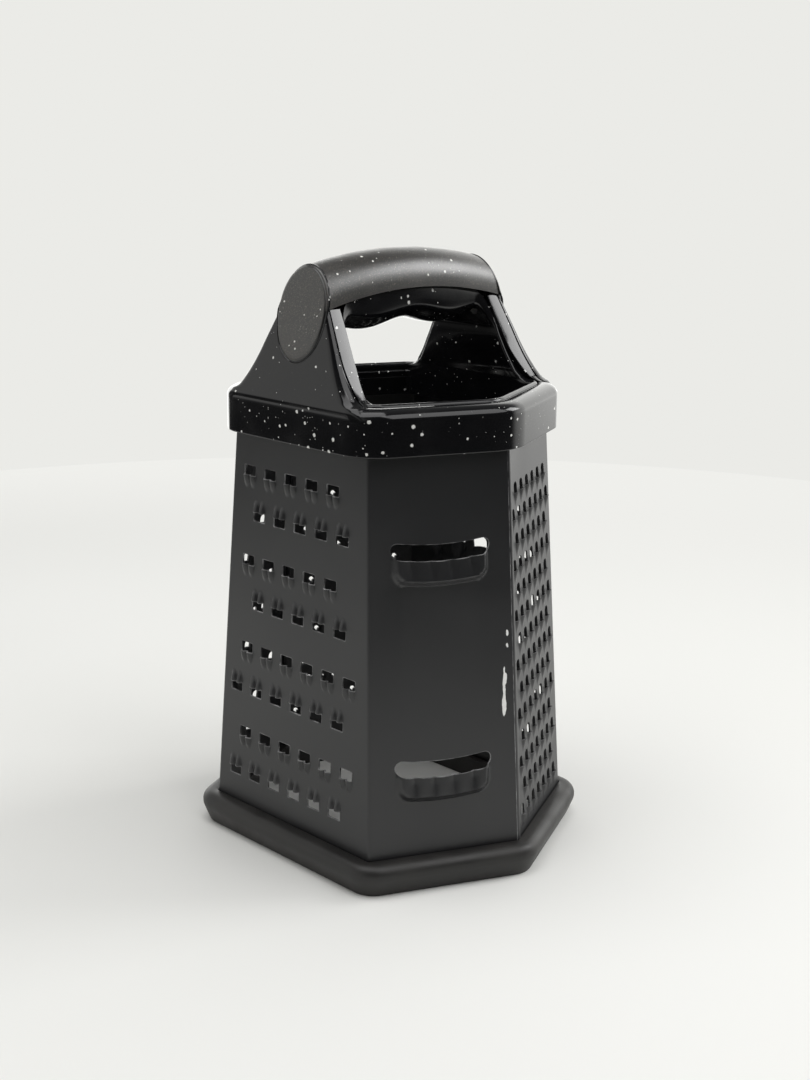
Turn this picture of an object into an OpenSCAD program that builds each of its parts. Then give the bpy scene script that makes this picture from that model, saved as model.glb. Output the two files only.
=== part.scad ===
// Six-sided box grater. Two folded sheet steel half shells hook together along two seams and stand in a
// base ring. A moulded top frame caps them and carries a bar handle between two flared posts. A liner
// finishes the top opening and the underside of the bar, and a soft cover wraps the bar.
// Millimetres. +Z is up, X runs along the handle bar, and the origin is the centre of the base ring's
// underside. Faces are numbered counter-clockwise from the wide face at +X: 0 large holes, 1 piercings,
// 2 medium holes, 3 coarse twin holes, 4 slicer, 5 fine holes.

/* [Body] */
// Distance between the two wide faces where they leave the base ring
foot_depth = 88.2; // [84:0.2:92]
// Distance between the two wide faces where they enter the collar
neck_depth = 78.5; // [76:0.1:80]
// Width of a wide face where it leaves the base ring
foot_width = 73; // [68:0.5:78]
// Width of a wide face where it enters the collar
neck_width = 59.9; // [57:0.1:61]
// Height of sheet that shows between the base ring and the collar
show_h = 122.2; // [120:0.2:140]
// Turn of the four middle faces from the handle's direction, in degrees
mid_turn = 25; // [23:0.5:26]
// Thickness of the sheet
sheet_t = 0.5; // [0.4:0.05:0.7]
// Width of the folded seam band on the outside
seam_w = 1.8; // [1.2:0.1:3]
// Width of the seam's hidden flange on the inside
hook_w = 2.4; // [1.5:0.1:3]
// Least distance from the base ring up to the lowest row of holes
field_low = 6; // [5:0.5:8]
// Least distance from the highest row of large holes up to the collar
field_high = 9; // [8:0.5:12]

/* [Coarse twin holes] */
// Distance from the collar down to the first row
coarse_drop = 12.1; // [10:0.1:14]
// Distance between rows
coarse_row = 14.3; // [13:0.1:15]
// Distance between holes in a row
coarse_pitch = 9.6; // [8:0.1:10]
// Shift of the whole field along the face
coarse_shift = -1.2; // [-2:0.1:2]
// Width of a hole
coarse_w = 5.4; // [4.5:0.1:6]
// Height of a hole
coarse_h = 3; // [2.5:0.1:3.5]
// Length of the two raised lobes of a hole
coarse_lobe_l = 3.4; // [3:0.1:4]

/* [Large holes] */
// Height of the lowest row above the floor
large_z = 25; // [22:0.5:30]
// Distance between rows
large_row = 15.6; // [14:0.1:16]
// Distance between holes in a row
large_pitch = 10.1; // [9:0.1:11]
// Shift of the whole field along the face
large_shift = -1.1; // [-2:0.1:2]
// Width of a hole
large_w = 6.2; // [5:0.1:7]
// Height of a hole
large_h = 4.2; // [3.5:0.1:5]
// Length of the raised lobe
large_lobe_l = 5.6; // [5:0.1:6]
// Height of the raised lobe at its cutting edge
large_rise = 2; // [1.5:0.1:2.4]

/* [Fine holes] */
// Distance from the collar down to the first row
fine_drop = 12.7; // [10:0.1:14]
// Distance between rows
fine_row = 7.82; // [7:0.02:8]
// Distance between holes in a row
fine_pitch = 6; // [5:0.1:6]
// Width of a hole
fine_w = 2.8; // [2:0.1:3]
// Height of a hole
fine_h = 2.8; // [2:0.1:3]
// Length of the raised lobe
fine_lobe_l = 2.8; // [2:0.1:3]
// Height of the raised lobe at its cutting edge
fine_rise = 0.8; // [0.6:0.1:1]

/* [Medium holes] */
// Distance from the collar down to the first row
medium_drop = 13.5; // [11:0.1:15]
// Distance between rows
medium_row = 10.4; // [9:0.1:11]
// Distance between holes in a row
medium_pitch = 7.8; // [7:0.1:9]
// Width of a hole
medium_w = 4; // [3:0.1:4.5]
// Height of a hole
medium_h = 3; // [2.5:0.1:3.5]
// Length of the raised lobe
medium_lobe_l = 3.4; // [3:0.1:4]
// Height of the raised lobe at its cutting edge
medium_rise = 1.2; // [1:0.1:1.5]

/* [Piercings] */
// Distance from the collar down to the first row
pierce_drop = 12.5; // [10:0.1:15]
// Distance between rows
pierce_row = 6.2; // [6:0.1:8]
// Distance between piercings in a row
pierce_pitch = 4.7; // [4.5:0.1:6]
// Side of the square piercing
pierce_w = 1.3; // [1:0.1:1.6]
// Height of the crown of torn metal round it
pierce_rise = 0.9; // [0.6:0.1:1.2]
// Radius of the crown at the sheet
pierce_r = 1.55; // [1.4:0.05:1.8]

/* [Slicer] */
// Distance from the collar down to the upper slot's cutting edge
slot_drop = 31.2; // [28:0.1:35]
// Height of the lower slot's cutting edge over the base ring
slot_low = 24.7; // [20:0.1:30]
// Length of a slot
slot_l = 31; // [26:0.5:33]
// Height of a slot
slot_h = 4.7; // [4.3:0.1:6]
// Height of the scoop below the cutting edge
scoop_h = 8; // [7:0.1:10]
// Height of the cutting edge over the face
scoop_rise = 1.9; // [1.5:0.1:2.4]
// Height of the scoop over the face at its lower end
scoop_low = 0.9; // [0.7:0.1:1.2]
// Radius of the scoop's lower corners
scoop_r = 4.5; // [3:0.1:5]
// Distance between flutes
flute_pitch = 6.35; // [5:0.05:7]
// Number of flutes
flutes = 5; // [3:1:5]
// Depth of the valleys between flutes
flute_depth = 0.7; // [0.4:0.05:0.9]

/* [Base ring] */
// Height of the ring outside the sheet
ring_h = 10; // [9.8:0.1:12]
// Reach of the ring's foot beyond the sheet's planes at the floor
ring_foot = 2; // [1.6:0.1:3]
// Further reach of the bulge
ring_bulge = 3.5; // [3.4:0.1:4.2]
// Height of the upright band between the bulge's taper and its upper edge
ring_band = 0.6; // [0.3:0.1:1]
// Radius of the bulge's upper edge
ring_round = 3.2; // [2:0.1:3.2]
// Radius of the foot's corners in plan
ring_corner_r = 1; // [0.6:0.1:3]
// Rubber below the sheet's edge
ring_floor = 2.2; // [1.5:0.1:3]
// Wall of the ring inside the sheet
ring_wall = 2.2; // [1.5:0.1:3]
// Height of the ring inside the sheet
ring_in_h = 7.5; // [6:0.5:9]

/* [Collar] */
// Reach of the skirt's wide sides beyond the sheet at the neck
skirt_reach = 4.45; // [4:0.05:5]
// How much wider the skirt's wide sides are than the sheet's at the neck
skirt_extra = 5.9; // [5.5:0.1:7]
// Turn of the skirt's slanted sides from the handle's direction, in degrees
skirt_turn = 23.5; // [23:0.5:25]
// Height of the collar from its lower edge to the deck
collar_h = 13.8; // [13:0.1:16]
// Radius of the four outer corners in plan
skirt_corner_r = 14; // [12:0.5:15]
// Radius of the two middle corners in plan
skirt_apex_r = 18; // [16:0.5:20]
// Radius of the shoulder between the skirt and the deck
shoulder_r = 3; // [2:0.1:3.5]
// Wall of the skirt
skirt_wall = 1.6; // [1.2:0.1:1.6]
// Thickness of the deck
deck_t = 1.8; // [1.5:0.1:2.5]
// Width of the deck from the skirt's outside to the top opening
deck_w = 6.2; // [6:0.1:7]
// Height of the locating web over the skirt's lower edge
web_z = 6; // [3:0.5:8]
// Thickness of the locating web
web_t = 2; // [1.2:0.1:2.5]

/* [Handle] */
// Height of the bar's top over the deck at mid length
handle_rise = 42.1; // [40:0.1:46]
// Radius of the bar's arch along its top
arch_r = 161.4; // [140:1:200]
// Width of the grip cover
grip_w = 21; // [19:0.5:22]
// Height of the grip cover's section
grip_h = 11.4; // [11:0.1:12.5]
// Wall of the grip cover
grip_wall = 1.7; // [1.3:0.1:2.2]
// Lean of the posts' outer faces, in degrees
post_lean = 12.4; // [11.5:0.1:13]
// Drop from the deck to the crease where the posts' outer faces begin
crease_drop = 1.6; // [1:0.1:2.5]
// Height over the deck of the knee on a post's inner side
knee_z = 3.5; // [2.5:0.1:5]
// Thickness of a post along the handle at the knee, outside the liner
post_knee_t = 7.8; // [7.2:0.1:8.5]
// Thickness of a post along the handle under the bar, outside the liner
post_head_t = 6.2; // [5.5:0.1:7]
// How far a post's foot ends short of the skirt's sharp corner, at each side
foot_short = 5.9; // [5:0.1:8]
// Width of a post where the flare's curve begins
post_waist_w = 32.8; // [30:0.2:36]
// Height of that place over the deck
post_waist_z = 14; // [13:0.5:16]
// How far a post's head lies inside the cover's side
head_step = 0.4; // [0.2:0.05:0.8]
// Radius of the flare
flare_r = 47; // [42:1:60]
// Wall of the bar's hidden core
core_wall = 2; // [1.5:0.1:2.5]

/* [Oval pads] */
// How far an oval pad's edge lies inside the cover's side
pad_step = 0.2; // [0.1:0.05:0.6]
// Height of an oval pad
pad_h = 28.4; // [26:0.2:30]
// Distance from the bar's top down to an oval pad's centre
pad_drop = 17.3; // [16.5:0.1:18]
// Thickness of an oval pad
pad_t = 1.6; // [1.2:0.1:2]
// How far an oval pad stands proud of the post
pad_proud = 0.45; // [0.3:0.05:0.8]

/* [Liner] */
// Distance from the skirt's outside to the clear opening between the posts
mouth_inset = 13.1; // [12.5:0.1:14]
// Distance from the underside's mean height down to where it turns into the posts
turn_drop = 3; // [2:0.5:6]
// Width of the bead round the top opening
bead_w = 2.2; // [1.8:0.1:2.6]
// Height of the bead over the deck
bead_h = 0.6; // [0.5:0.05:0.9]
// Depth of the liner below the deck
liner_depth = 10; // [8:0.5:11]
// Depth of the first ledge below the deck
ledge_z = 2.2; // [2:0.1:3]
// Width of a ledge
ledge_w = 1; // [0.6:0.1:1.2]
// Depth of the second ledge below the first
ledge_step = 2; // [1.5:0.1:2.5]
// Width of the second ledge
step_w = 0.4; // [0.2:0.1:0.6]
// How far the liner's edges lie inside the posts' edges
liner_step = 0.6; // [0.3:0.1:1]
// Length of the slope between the underside and each post
turn_l = 2.6; // [1.5:0.1:5]
// Distance from the bar's top down to the underside's mean height
under_drop = 22.6; // [22:0.1:23]
// Height of the finger waves to each side of the mean
wave_h = 1.25; // [0.8:0.05:1.5]
// Length of a finger wave
wave_l = 32; // [28:0.5:36]
// Wall of the underside
under_wall = 1.8; // [1.4:0.1:2.2]
// Diameter of the round recess in the inner face of a post
recess_d = 5.5; // [4:0.1:6]
// Distance from the underside's mean height down to the recess
recess_drop = 6; // [5:0.5:9]
// Depth of that recess
recess_t = 0.6; // [0.3:0.1:1]

/* [Hidden] */
$fn = 48;
// Clearance between the sheet and the mouldings
sheet_fit = 0.15;
// Clearance between two mouldings
fit = 0.2;
// Overrun of every cut
over = 1;
// How far the posts' sides are drawn past their heads before the arch cuts them
head_over = 3;
// Steps of the arcs at the corners in plan, and of a rounded edge
corner_steps = 10;
round_steps = 6;
// How far the posts' vertical feet lie inside the skirt's outside
post_step = 0.1;
// Half the height of the necks, and their step inside the core
neck_h = 3.5;
neck_step = 0.6;
// Depth of the block that trims whatever a lobe or scoop leaves inside the sheet
trim_depth = 16;
// Least strip of sheet between a hole and a bend
edge_margin = 3.2;
// The same for the fine holes, which reach closer to the bends
fine_margin = 2.4;
// Radius of an arched hole's upper corners as a share of its smaller side
arch_share = 0.42;
// Overlap of the two lobes of a coarse hole
lobe_join = 0.2;
// Number of points along the finger waves
wave_points = 64;
// Most coarse holes in a row
coarse_most = 6;

// Rows that fit between the collar and the base ring
function rows_for(drop, row) = floor((show_h - drop - field_low) / row) + 1;
coarse_rows = rows_for(coarse_drop, coarse_row);
fine_rows = rows_for(fine_drop, fine_row);
medium_rows = rows_for(medium_drop, medium_row);
pierce_rows = rows_for(pierce_drop, pierce_row);
large_rows = floor((ring_h + show_h - large_z - field_high) / large_row) + 1;

neck_z = ring_h + show_h;
deck_z = neck_z + collar_h;
skirt_depth = neck_depth + 2 * skirt_reach;
skirt_width = neck_width + skirt_extra;
post_foot_w = skirt_width - 2 * foot_short;
post_head_w = grip_w - 2 * head_step;
pad_w = grip_w - 2 * pad_step;
pad_z = handle_rise - pad_drop;
under_z = handle_rise - under_drop;
mouth_x = skirt_depth / 2 - mouth_inset;
sheet_top = deck_z - deck_t - sheet_fit;
az = [0, 90 - mid_turn, 90 + mid_turn, 180, 270 - mid_turn, 270 + mid_turn];

// Half the body's depth and half a wide face's width at height z, and how far a face lies from the axis
function half_depth(z) = foot_depth / 2 + (neck_depth - foot_depth) / 2 * (z - ring_h) / show_h;
function half_width(z) = foot_width / 2 + (neck_width - foot_width) / 2 * (z - ring_h) / show_h;
function mid_dist(z) = half_width(z) * cos(mid_turn) + half_depth(z) * sin(mid_turn);
function face_dist(k, z) = k % 3 == 0 ? half_depth(z) : mid_dist(z);
function lean(k) = atan((face_dist(k, ring_h) - face_dist(k, neck_z)) / show_h);

// Point where two lines meet in plan, each given by the direction of its normal and its distance
function meet(a1, d1, a2, d2) =
    [d1 * sin(a2) - d2 * sin(a1), d2 * cos(a1) - d1 * cos(a2)] / sin(a2 - a1);
function next(k) = (k + 1) % 6;
function prev(k) = (k + 5) % 6;

// Corner between face k, moved out by o1, and the next face, moved out by o2, at height z
function body_corner(k, z, o1, o2) =
    meet(az[k], face_dist(k, z) + o1 / cos(lean(k)),
         az[next(k)], face_dist(next(k), z) + o2 / cos(lean(next(k))));
function along(k, p) = p.y * cos(az[k]) - p.x * sin(az[k]);
function u_end(k, z, o1, o2) = along(k, body_corner(k, z, o1, o2));
function u_start(k, z, o1, o2) = along(k, body_corner(prev(k), z, o1, o2));
function u_mid(k, z) = (u_start(k, z, 0, 0) + u_end(k, z, 0, 0)) / 2;
function v_at(k, z, o) = (z - o * sin(lean(k))) / cos(lean(k));

// Places children in the plane of face k: x along the face, y up its slope from the floor, z outwards
module on_face(k) {
    rotate([0, 0, az[k] + 90])
        translate([0, -face_dist(k, 0), 0])
            rotate([90 - lean(k), 0, 0])
                children();
}

// Outline of face k, moved out by o, between two heights. o1 and o2 move its neighbours.
module face_outline(k, z1, z2, o, o1, o2) {
    polygon([
        [u_start(k, z1, o1, o), v_at(k, z1, o)],
        [u_end(k, z1, o, o2), v_at(k, z1, o)],
        [u_end(k, z2, o, o2), v_at(k, z2, o)],
        [u_start(k, z2, o1, o), v_at(k, z2, o)]]);
}

// Narrow flange of width w along the start or the end of face k, its outside moved out by o
module flange(k, w, o, o_other, at_end, thick) {
    z1 = ring_floor;
    z2 = sheet_top;
    e1 = at_end ? u_end(k, z1, o, o_other) : u_start(k, z1, o_other, o);
    e2 = at_end ? u_end(k, z2, o, o_other) : u_start(k, z2, o_other, o);
    back = at_end ? -w : w;
    on_face(k)
        translate([0, 0, o - thick])
            linear_extrude(thick)
                polygon([[e1, v_at(k, z1, o)], [e1 + back, v_at(k, z1, o)],
                         [e2 + back, v_at(k, z2, o)], [e2, v_at(k, z2, o)]]);
}

// Sites of a field of holes: [place along the face, height, direction of the lobe]
coarse_sites = [
    for (i = [0 : coarse_rows - 1])
        let (odd = i % 2, few = i < coarse_rows / 2 ? 1 : 0)
        for (j = [odd * few : coarse_most - 1 - (1 - odd) * few])
            [coarse_shift + coarse_pitch * (j - (coarse_most - 1) / 2 + (odd ? -1 : 1) / 4),
             neck_z - coarse_drop - coarse_row * i,
             odd ? 1 : -1]];

// Holes of one row that keep clear of the bends: columns at whole or half pitches from the middle
function row_sites(k, z, pitch, shift, half, w, dir, margin = edge_margin) =
    let (most = ceil((u_end(k, z, 0, 0) - u_start(k, z, 0, 0)) / pitch))
    [for (j = [-most : most])
        let (u = u_mid(k, z) + shift + pitch * (j + half / 2))
        if (u - w / 2 > u_start(k, z, 0, 0) + margin && u + w / 2 < u_end(k, z, 0, 0) - margin)
            [u, z, dir]];

large_sites = [for (i = [0 : large_rows - 1])
    each row_sites(0, large_z + large_row * i, large_pitch, large_shift, i % 2, large_w, -1)];
fine_sites = [for (i = [0 : fine_rows - 1])
    each row_sites(5, neck_z - fine_drop - fine_row * i, fine_pitch, 0, (i + 1) % 2, fine_w, -1,
                   fine_margin)];
medium_sites = [for (i = [0 : medium_rows - 1])
    each row_sites(2, neck_z - medium_drop - medium_row * i, medium_pitch, 0, i % 2, medium_w, -1)];
pierce_sites = [for (i = [0 : pierce_rows - 1])
    each row_sites(1, neck_z - pierce_drop - pierce_row * i, pierce_pitch, 0, i % 2, pierce_r, -1)];

// Tilted cylinder that rises to rise at the hole's edge and sinks into the sheet over length l
module lobe(dir, r, rise, l, skin) {
    tilt = atan(rise / l);
    translate([0, 0, rise - r / cos(tilt)])
        rotate([-dir * (90 + tilt), 0, 0])
            translate([0, 0, -skin])
                cylinder(r = r - skin, h = (l + r) / cos(tilt) + skin, $fn = 32);
}

// Every lobe of a field, or its hollow when skin is the sheet's thickness
module lobes(k, sites, h, r, rise, l, at, skin) {
    for (s = sites, x = at)
        translate([s[0] + x, v_at(k, s[1], 0) + s[2] * h / 2, 0])
            lobe(s[2], r, rise, l, skin);
}

// Block that trims face k's inside flat
module trim(k) {
    translate([0, 0, -sheet_t - trim_depth])
        linear_extrude(trim_depth)
            face_outline(k, ring_floor - over, sheet_top + over, 0, over, over);
}

// Face with a field of holes, each with lobes at the places in at
module rasp_face(k, sites, h, r, rise, l, at, o1, o2) {
    on_face(k)
        difference() {
            union() {
                translate([0, 0, -sheet_t])
                    linear_extrude(sheet_t)
                        difference() {
                            face_outline(k, ring_floor, sheet_top, 0, o1, o2);
                            for (s = sites)
                                translate([s[0], v_at(k, s[1], 0)])
                                    scale([1, -s[2]])
                                        children();
                        }
                lobes(k, sites, h, r, rise, l, at, 0);
            }
            lobes(k, sites, h, r, rise, l, at, sheet_t);
            trim(k);
        }
}

// Hole with a round top and a straight cutting edge below
module arch_hole(w, h) {
    r = arch_share * min(w, h);
    translate([-w / 2, -h / 2])
        square([w, h - r]);
    translate([-w / 2 + r, -h / 2])
        square([w - 2 * r, h]);
    for (x = [-1, 1])
        translate([x * (w / 2 - r), h / 2 - r])
            circle(r, $fn = 24);
}

function lobe_radius(w, rise) = (w * w / 4 + rise * rise) / (2 * rise);

// Slicing slot above its cutting edge
module slot_hole() {
    r = slot_h / 2;
    translate([-slot_l / 2 + r, 0])
        square([slot_l - slot_h, slot_h]);
    for (x = [-1, 1])
        translate([x * (slot_l / 2 - r), r])
            circle(r);
}

// Footprint of the scoop below the cutting edge, drawn in by inset
module scoop_plan(inset) {
    r = scoop_r - inset;
    translate([-slot_l / 2 + inset, -scoop_h + scoop_r])
        square([slot_l - 2 * inset, scoop_h - scoop_r + inset]);
    translate([-slot_l / 2 + scoop_r, -scoop_h + inset])
        square([slot_l - 2 * scoop_r, scoop_h]);
    for (x = [-1, 1])
        translate([x * (slot_l / 2 - scoop_r), -scoop_h + scoop_r])
            circle(r);
}

// Scoop as a fluted ramp inside its footprint, or its hollow when skin is the sheet's thickness
module scoop(skin) {
    tilt = atan((scoop_rise - scoop_low) / scoop_h);
    r = (flute_pitch * flute_pitch / 4 + flute_depth * flute_depth) / (2 * flute_depth);
    intersection() {
        rotate([90 + tilt, 0, 0])
            translate([0, 0, -over])
                linear_extrude(scoop_h / cos(tilt) + 2 * over)
                    for (i = [0 : flutes - 1])
                        translate([flute_pitch * (i - (flutes - 1) / 2), scoop_rise - r])
                            circle(r - skin);
        translate([0, 0, -sheet_t - over])
            linear_extrude(sheet_t + scoop_rise + 2 * over)
                scoop_plan(skin);
    }
}

module slicer_face(o1, o2) {
    edges = [neck_z - slot_drop, ring_h + slot_low];
    on_face(4)
        difference() {
            union() {
                translate([0, 0, -sheet_t])
                    linear_extrude(sheet_t)
                        difference() {
                            face_outline(4, ring_floor, sheet_top, 0, o1, o2);
                            for (z = edges)
                                translate([u_mid(4, z), v_at(4, z, 0)])
                                    slot_hole();
                        }
                for (z = edges)
                    translate([u_mid(4, z), v_at(4, z, 0), 0])
                        scoop(0);
            }
            for (z = edges)
                translate([u_mid(4, z), v_at(4, z, 0), 0])
                    scoop(sheet_t);
            trim(4);
        }
}

// Face of small square piercings, each in a crown of torn metal
module pierced_face(o1, o2) {
    crown_r = pierce_w * sqrt(1 / 2);
    on_face(1)
        difference() {
            union() {
                translate([0, 0, -sheet_t])
                    linear_extrude(sheet_t)
                        face_outline(1, ring_floor, sheet_top, 0, o1, o2);
                for (s = pierce_sites)
                    translate([s[0], v_at(1, s[1], 0), -sheet_t / 2])
                        cylinder(r1 = pierce_r, r2 = crown_r, h = pierce_rise + sheet_t / 2, $fn = 24);
            }
            for (s = pierce_sites)
                translate([s[0], v_at(1, s[1], 0), 0])
                    rotate([0, 0, 45])
                        cube([pierce_w, pierce_w, 2 * (pierce_rise + sheet_t + over)], center = true);
        }
}

// Front half: medium holes, coarse twin holes and the slicer, with a band folded over the rear half's edges
module front_shell() {
    color("#26282b") {
        rasp_face(2, medium_sites, medium_h, lobe_radius(medium_w, medium_rise), medium_rise,
                  medium_lobe_l, [0], sheet_t, 0)
            arch_hole(medium_w, medium_h);
        rasp_face(3, coarse_sites, coarse_h, coarse_w / 4 + lobe_join / 2, coarse_w / 4,
                  coarse_lobe_l, [-coarse_w / 4, coarse_w / 4], 0, 0)
            square([coarse_w, coarse_h], center = true);
        slicer_face(0, sheet_t);
        flange(1, seam_w, sheet_t, 0, true, sheet_t);
        flange(5, seam_w, sheet_t, 0, false, sheet_t);
    }
}

// Rear half: fine holes, large holes and piercings, with a hidden flange behind the front half's edges
module rear_shell() {
    color("#2e3033") {
        rasp_face(5, fine_sites, fine_h, lobe_radius(fine_w, fine_rise), fine_rise,
                  fine_lobe_l, [0], -sheet_t, 0)
            arch_hole(fine_w, fine_h);
        rasp_face(0, large_sites, large_h, lobe_radius(large_w, large_rise), large_rise,
                  large_lobe_l, [0], 0, 0)
            arch_hole(large_w, large_h);
        pierced_face(0, -sheet_t);
        flange(2, hook_w, -sheet_t, 0, false, sheet_t);
        flange(4, hook_w, -sheet_t, 0, true, sheet_t);
    }
}

// A closed hexagonal path with rounded corners: distances of its six sides and radii of its six corners
function six(wide, mid) = [wide, mid, mid, wide, mid, mid];
function corner_centre(a, d, r, k) = meet(a[k], d[k] - r[k], a[next(k)], d[next(k)] - r[k]);
function normal(angle) = [cos(angle), sin(angle)];

// Points of an arc from angle a1 to angle a2
function arc(c, r, a1, a2, steps) = [for (i = [0 : steps]) c + r * normal(a1 + (a2 - a1) * i / steps)];

// Sweeps a profile round the path: x outwards from the path, y up, points counter-clockwise
module sweep(a, d, r, profile) {
    n = len(profile);
    m = 6 * (corner_steps + 1);
    points = [
        for (k = [0 : 5], i = [0 : corner_steps], q = profile)
            let (turn = (a[next(k)] - a[k] + 360) % 360,
                 p = corner_centre(a, d, r, k) + (r[k] + q.x) * normal(a[k] + turn * i / corner_steps))
            [p.x, p.y, q.y]];
    polyhedron(points, [
        for (i = [0 : m - 1], j = [0 : n - 1])
            let (b = (i + 1) % m, t = (j + 1) % n)
            each [[i * n + j, i * n + t, b * n + t], [i * n + j, b * n + t, b * n + j]]]);
}

// Filled plan of a path with rounded corners, drawn in by inset
module plan(a, d, r, inset) {
    polygon([for (k = [0 : 5], i = [0, 1])
        corner_centre(a, d, r, k) + (r[k] - inset) * normal(a[(k + i) % 6])]);
    for (k = [0 : 5])
        if (r[k] > inset)
            translate(corner_centre(a, d, r, k))
                circle(r[k] - inset, $fn = 96);
}

// Base ring: path at its foot, a bulge outside it and a slot that takes the sheet
ring_dist = six(half_depth(0) + ring_foot, mid_dist(0) + ring_foot);
ring_radii = [for (k = [0 : 5]) ring_corner_r];

// A taper from the foot to the widest line, and a rounded upper edge
ring_profile = concat(
    [[-ring_corner_r / 2, 0], [0, 0], [ring_bulge, ring_h - ring_round - ring_band]],
    arc([ring_bulge - ring_round, ring_h - ring_round], ring_round, 0, 90, round_steps),
    [[-ring_corner_r / 2, ring_h]]);

// Solid hexagon between two heights that follows the body's planes, moved out by o
module hex_block(z1, z2, o) {
    reach = foot_depth + foot_width;
    intersection() {
        translate([-reach, -reach, z1])
            cube([2 * reach, 2 * reach, z2 - z1]);
        intersection_for (k = [0 : 5])
            on_face(k)
                translate([-reach / 2, -reach, o - reach])
                    cube([reach, 3 * reach, reach]);
    }
}

// Room for the seams' bands and flanges, grown by the sheet's clearance
module seam_room() {
    for (k = [1, 5])
        flange(k, seam_w + sheet_fit, sheet_t + sheet_fit, sheet_fit, k == 1, sheet_t + 2 * sheet_fit);
    for (k = [2, 4])
        flange(k, hook_w + sheet_fit, -sheet_t + sheet_fit, -sheet_fit, k == 4, sheet_t + 2 * sheet_fit);
}

module base_ring() {
    color("#1d1c1b")
        difference() {
            union() {
                linear_extrude(ring_h)
                    plan(az, ring_dist, ring_radii, ring_corner_r / 4);
                sweep(az, ring_dist, ring_radii, ring_profile);
            }
            difference() {
                hex_block(ring_floor, ring_h + over, sheet_fit);
                hex_block(ring_floor - over, ring_in_h, -sheet_t - sheet_fit);
            }
            hex_block(-over, ring_h + over, -sheet_t - sheet_fit - ring_wall);
            seam_room();
        }
}

// Path round the outside of the collar's skirt, and the path round the top opening
skirt_az = [0, 90 - skirt_turn, 90 + skirt_turn, 180, 270 - skirt_turn, 270 + skirt_turn];
skirt_dist = six(skirt_depth / 2,
                 skirt_width / 2 * cos(skirt_turn) + skirt_depth / 2 * sin(skirt_turn));
skirt_radii = [skirt_corner_r, skirt_apex_r, skirt_corner_r, skirt_corner_r, skirt_apex_r, skirt_corner_r];
mouth_dist = [for (d = skirt_dist) d - deck_w - fit];
mouth_radii = [for (r = skirt_radii) r - deck_w - fit];

// Skirt wall, rounded shoulder and deck
collar_profile = concat(
    [[-skirt_wall, neck_z], [0, neck_z]],
    arc([-shoulder_r, deck_z - shoulder_r], shoulder_r, 0, 90, round_steps),
    [[-deck_w, deck_z], [-deck_w, deck_z - deck_t], [-skirt_wall, deck_z - deck_t]]);

// Web inside the skirt that holds the top of the sheet in place
module locating_web() {
    z = neck_z + web_z;
    difference() {
        translate([0, 0, z])
            linear_extrude(web_t)
                plan(skirt_az, skirt_dist, skirt_radii, skirt_wall / 2);
        hex_block(z - over, z + web_t + over, sheet_fit);
        seam_room();
    }
}

// Places children in the plane of a post's outer face: y up its slope from the crease, z outwards
module on_post(side) {
    rotate([0, 0, side > 0 ? 90 : -90])
        translate([0, -skirt_depth / 2, deck_z - crease_drop])
            rotate([90 - post_lean, 0, 0])
                children();
}

function post_face(z) = skirt_depth / 2 - (z - deck_z + crease_drop) * tan(post_lean);

// The bar's arch: height of its centre, radius of its lower edge, and how far round the bar reaches
arch_z = deck_z + handle_rise - arch_r;
arch_low_r = arch_r - grip_h;
arch_half = asin(skirt_depth / 2 / arch_low_r);
head_z = arch_z + sqrt(pow(arch_low_r, 2) - pow(post_face(deck_z + pad_z), 2));

// Half outline of a post seen along the handle, with the flare as an arc, drawn in by inset
module post_half(inset, z1) {
    waist = [post_waist_w / 2 - inset, deck_z + post_waist_z];
    foot = [post_foot_w / 2 - inset, deck_z];
    head = post_head_w / 2 - inset;
    top = head_z + head_over;
    chord = norm(foot - waist);
    bow = sqrt(flare_r * flare_r - chord * chord / 4);
    across = [waist.y - foot.y, foot.x - waist.x] / chord;
    difference() {
        polygon([[0, z1], [foot.x, z1], foot, waist, [head, head_z], [head, top], [0, top]]);
        translate((waist + foot) / 2 + across * bow)
            circle(flare_r, $fn = 180);
    }
}

// Both halves of the outline, pushed through the whole handle
module post_front(inset, z1) {
    rotate([90, 0, 90])
        linear_extrude(skirt_depth, center = true) {
            post_half(inset, z1);
            mirror([1, 0])
                post_half(inset, z1);
        }
}

// Inner boundary of a post, where the liner begins: up from the deck's edge, in to the knee, up to the head
foot_in = skirt_depth / 2 - deck_w;
knee_in = post_face(deck_z + knee_z) - post_knee_t;
head_in = post_face(head_z) - post_head_t;
knee_low = bead_h + fit;

// Both posts seen from the side, cut to the arch below the grip cover
module posts_side() {
    low = deck_z - shoulder_r;
    rotate([90, 0, 0])
        linear_extrude(post_foot_w, center = true)
            intersection() {
                for (m = [0, 1])
                    mirror([m, 0])
                        polygon([[foot_in, deck_z - deck_t], [skirt_depth / 2 - shoulder_r, deck_z - deck_t],
                                 [skirt_depth / 2 - shoulder_r, low], [skirt_depth / 2, low],
                                 [skirt_depth / 2, deck_z - crease_drop],
                                 [post_face(head_z + head_over), head_z + head_over],
                                 [head_in, head_z + head_over], [head_in, head_z],
                                 [knee_in, deck_z + knee_z], [foot_in, deck_z + knee_low]]);
                translate([0, arch_z])
                    circle(arch_low_r - fit, $fn = 720);
            }
}

// Bar along the arch with half an oval for its section, from radius r_low, half width w and height h
module arch_bar(r_low, w, h) {
    translate([0, 0, arch_z])
        rotate([90, 0, 0])
            rotate([0, 0, 90 - arch_half])
                rotate_extrude(angle = 2 * arch_half, $fn = 360)
                    translate([r_low, 0])
                        intersection() {
                            scale([h, w])
                                circle(1, $fn = 64);
                            translate([0, -w - over])
                                square([h + over, 2 * (w + over)]);
                        }
}

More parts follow.
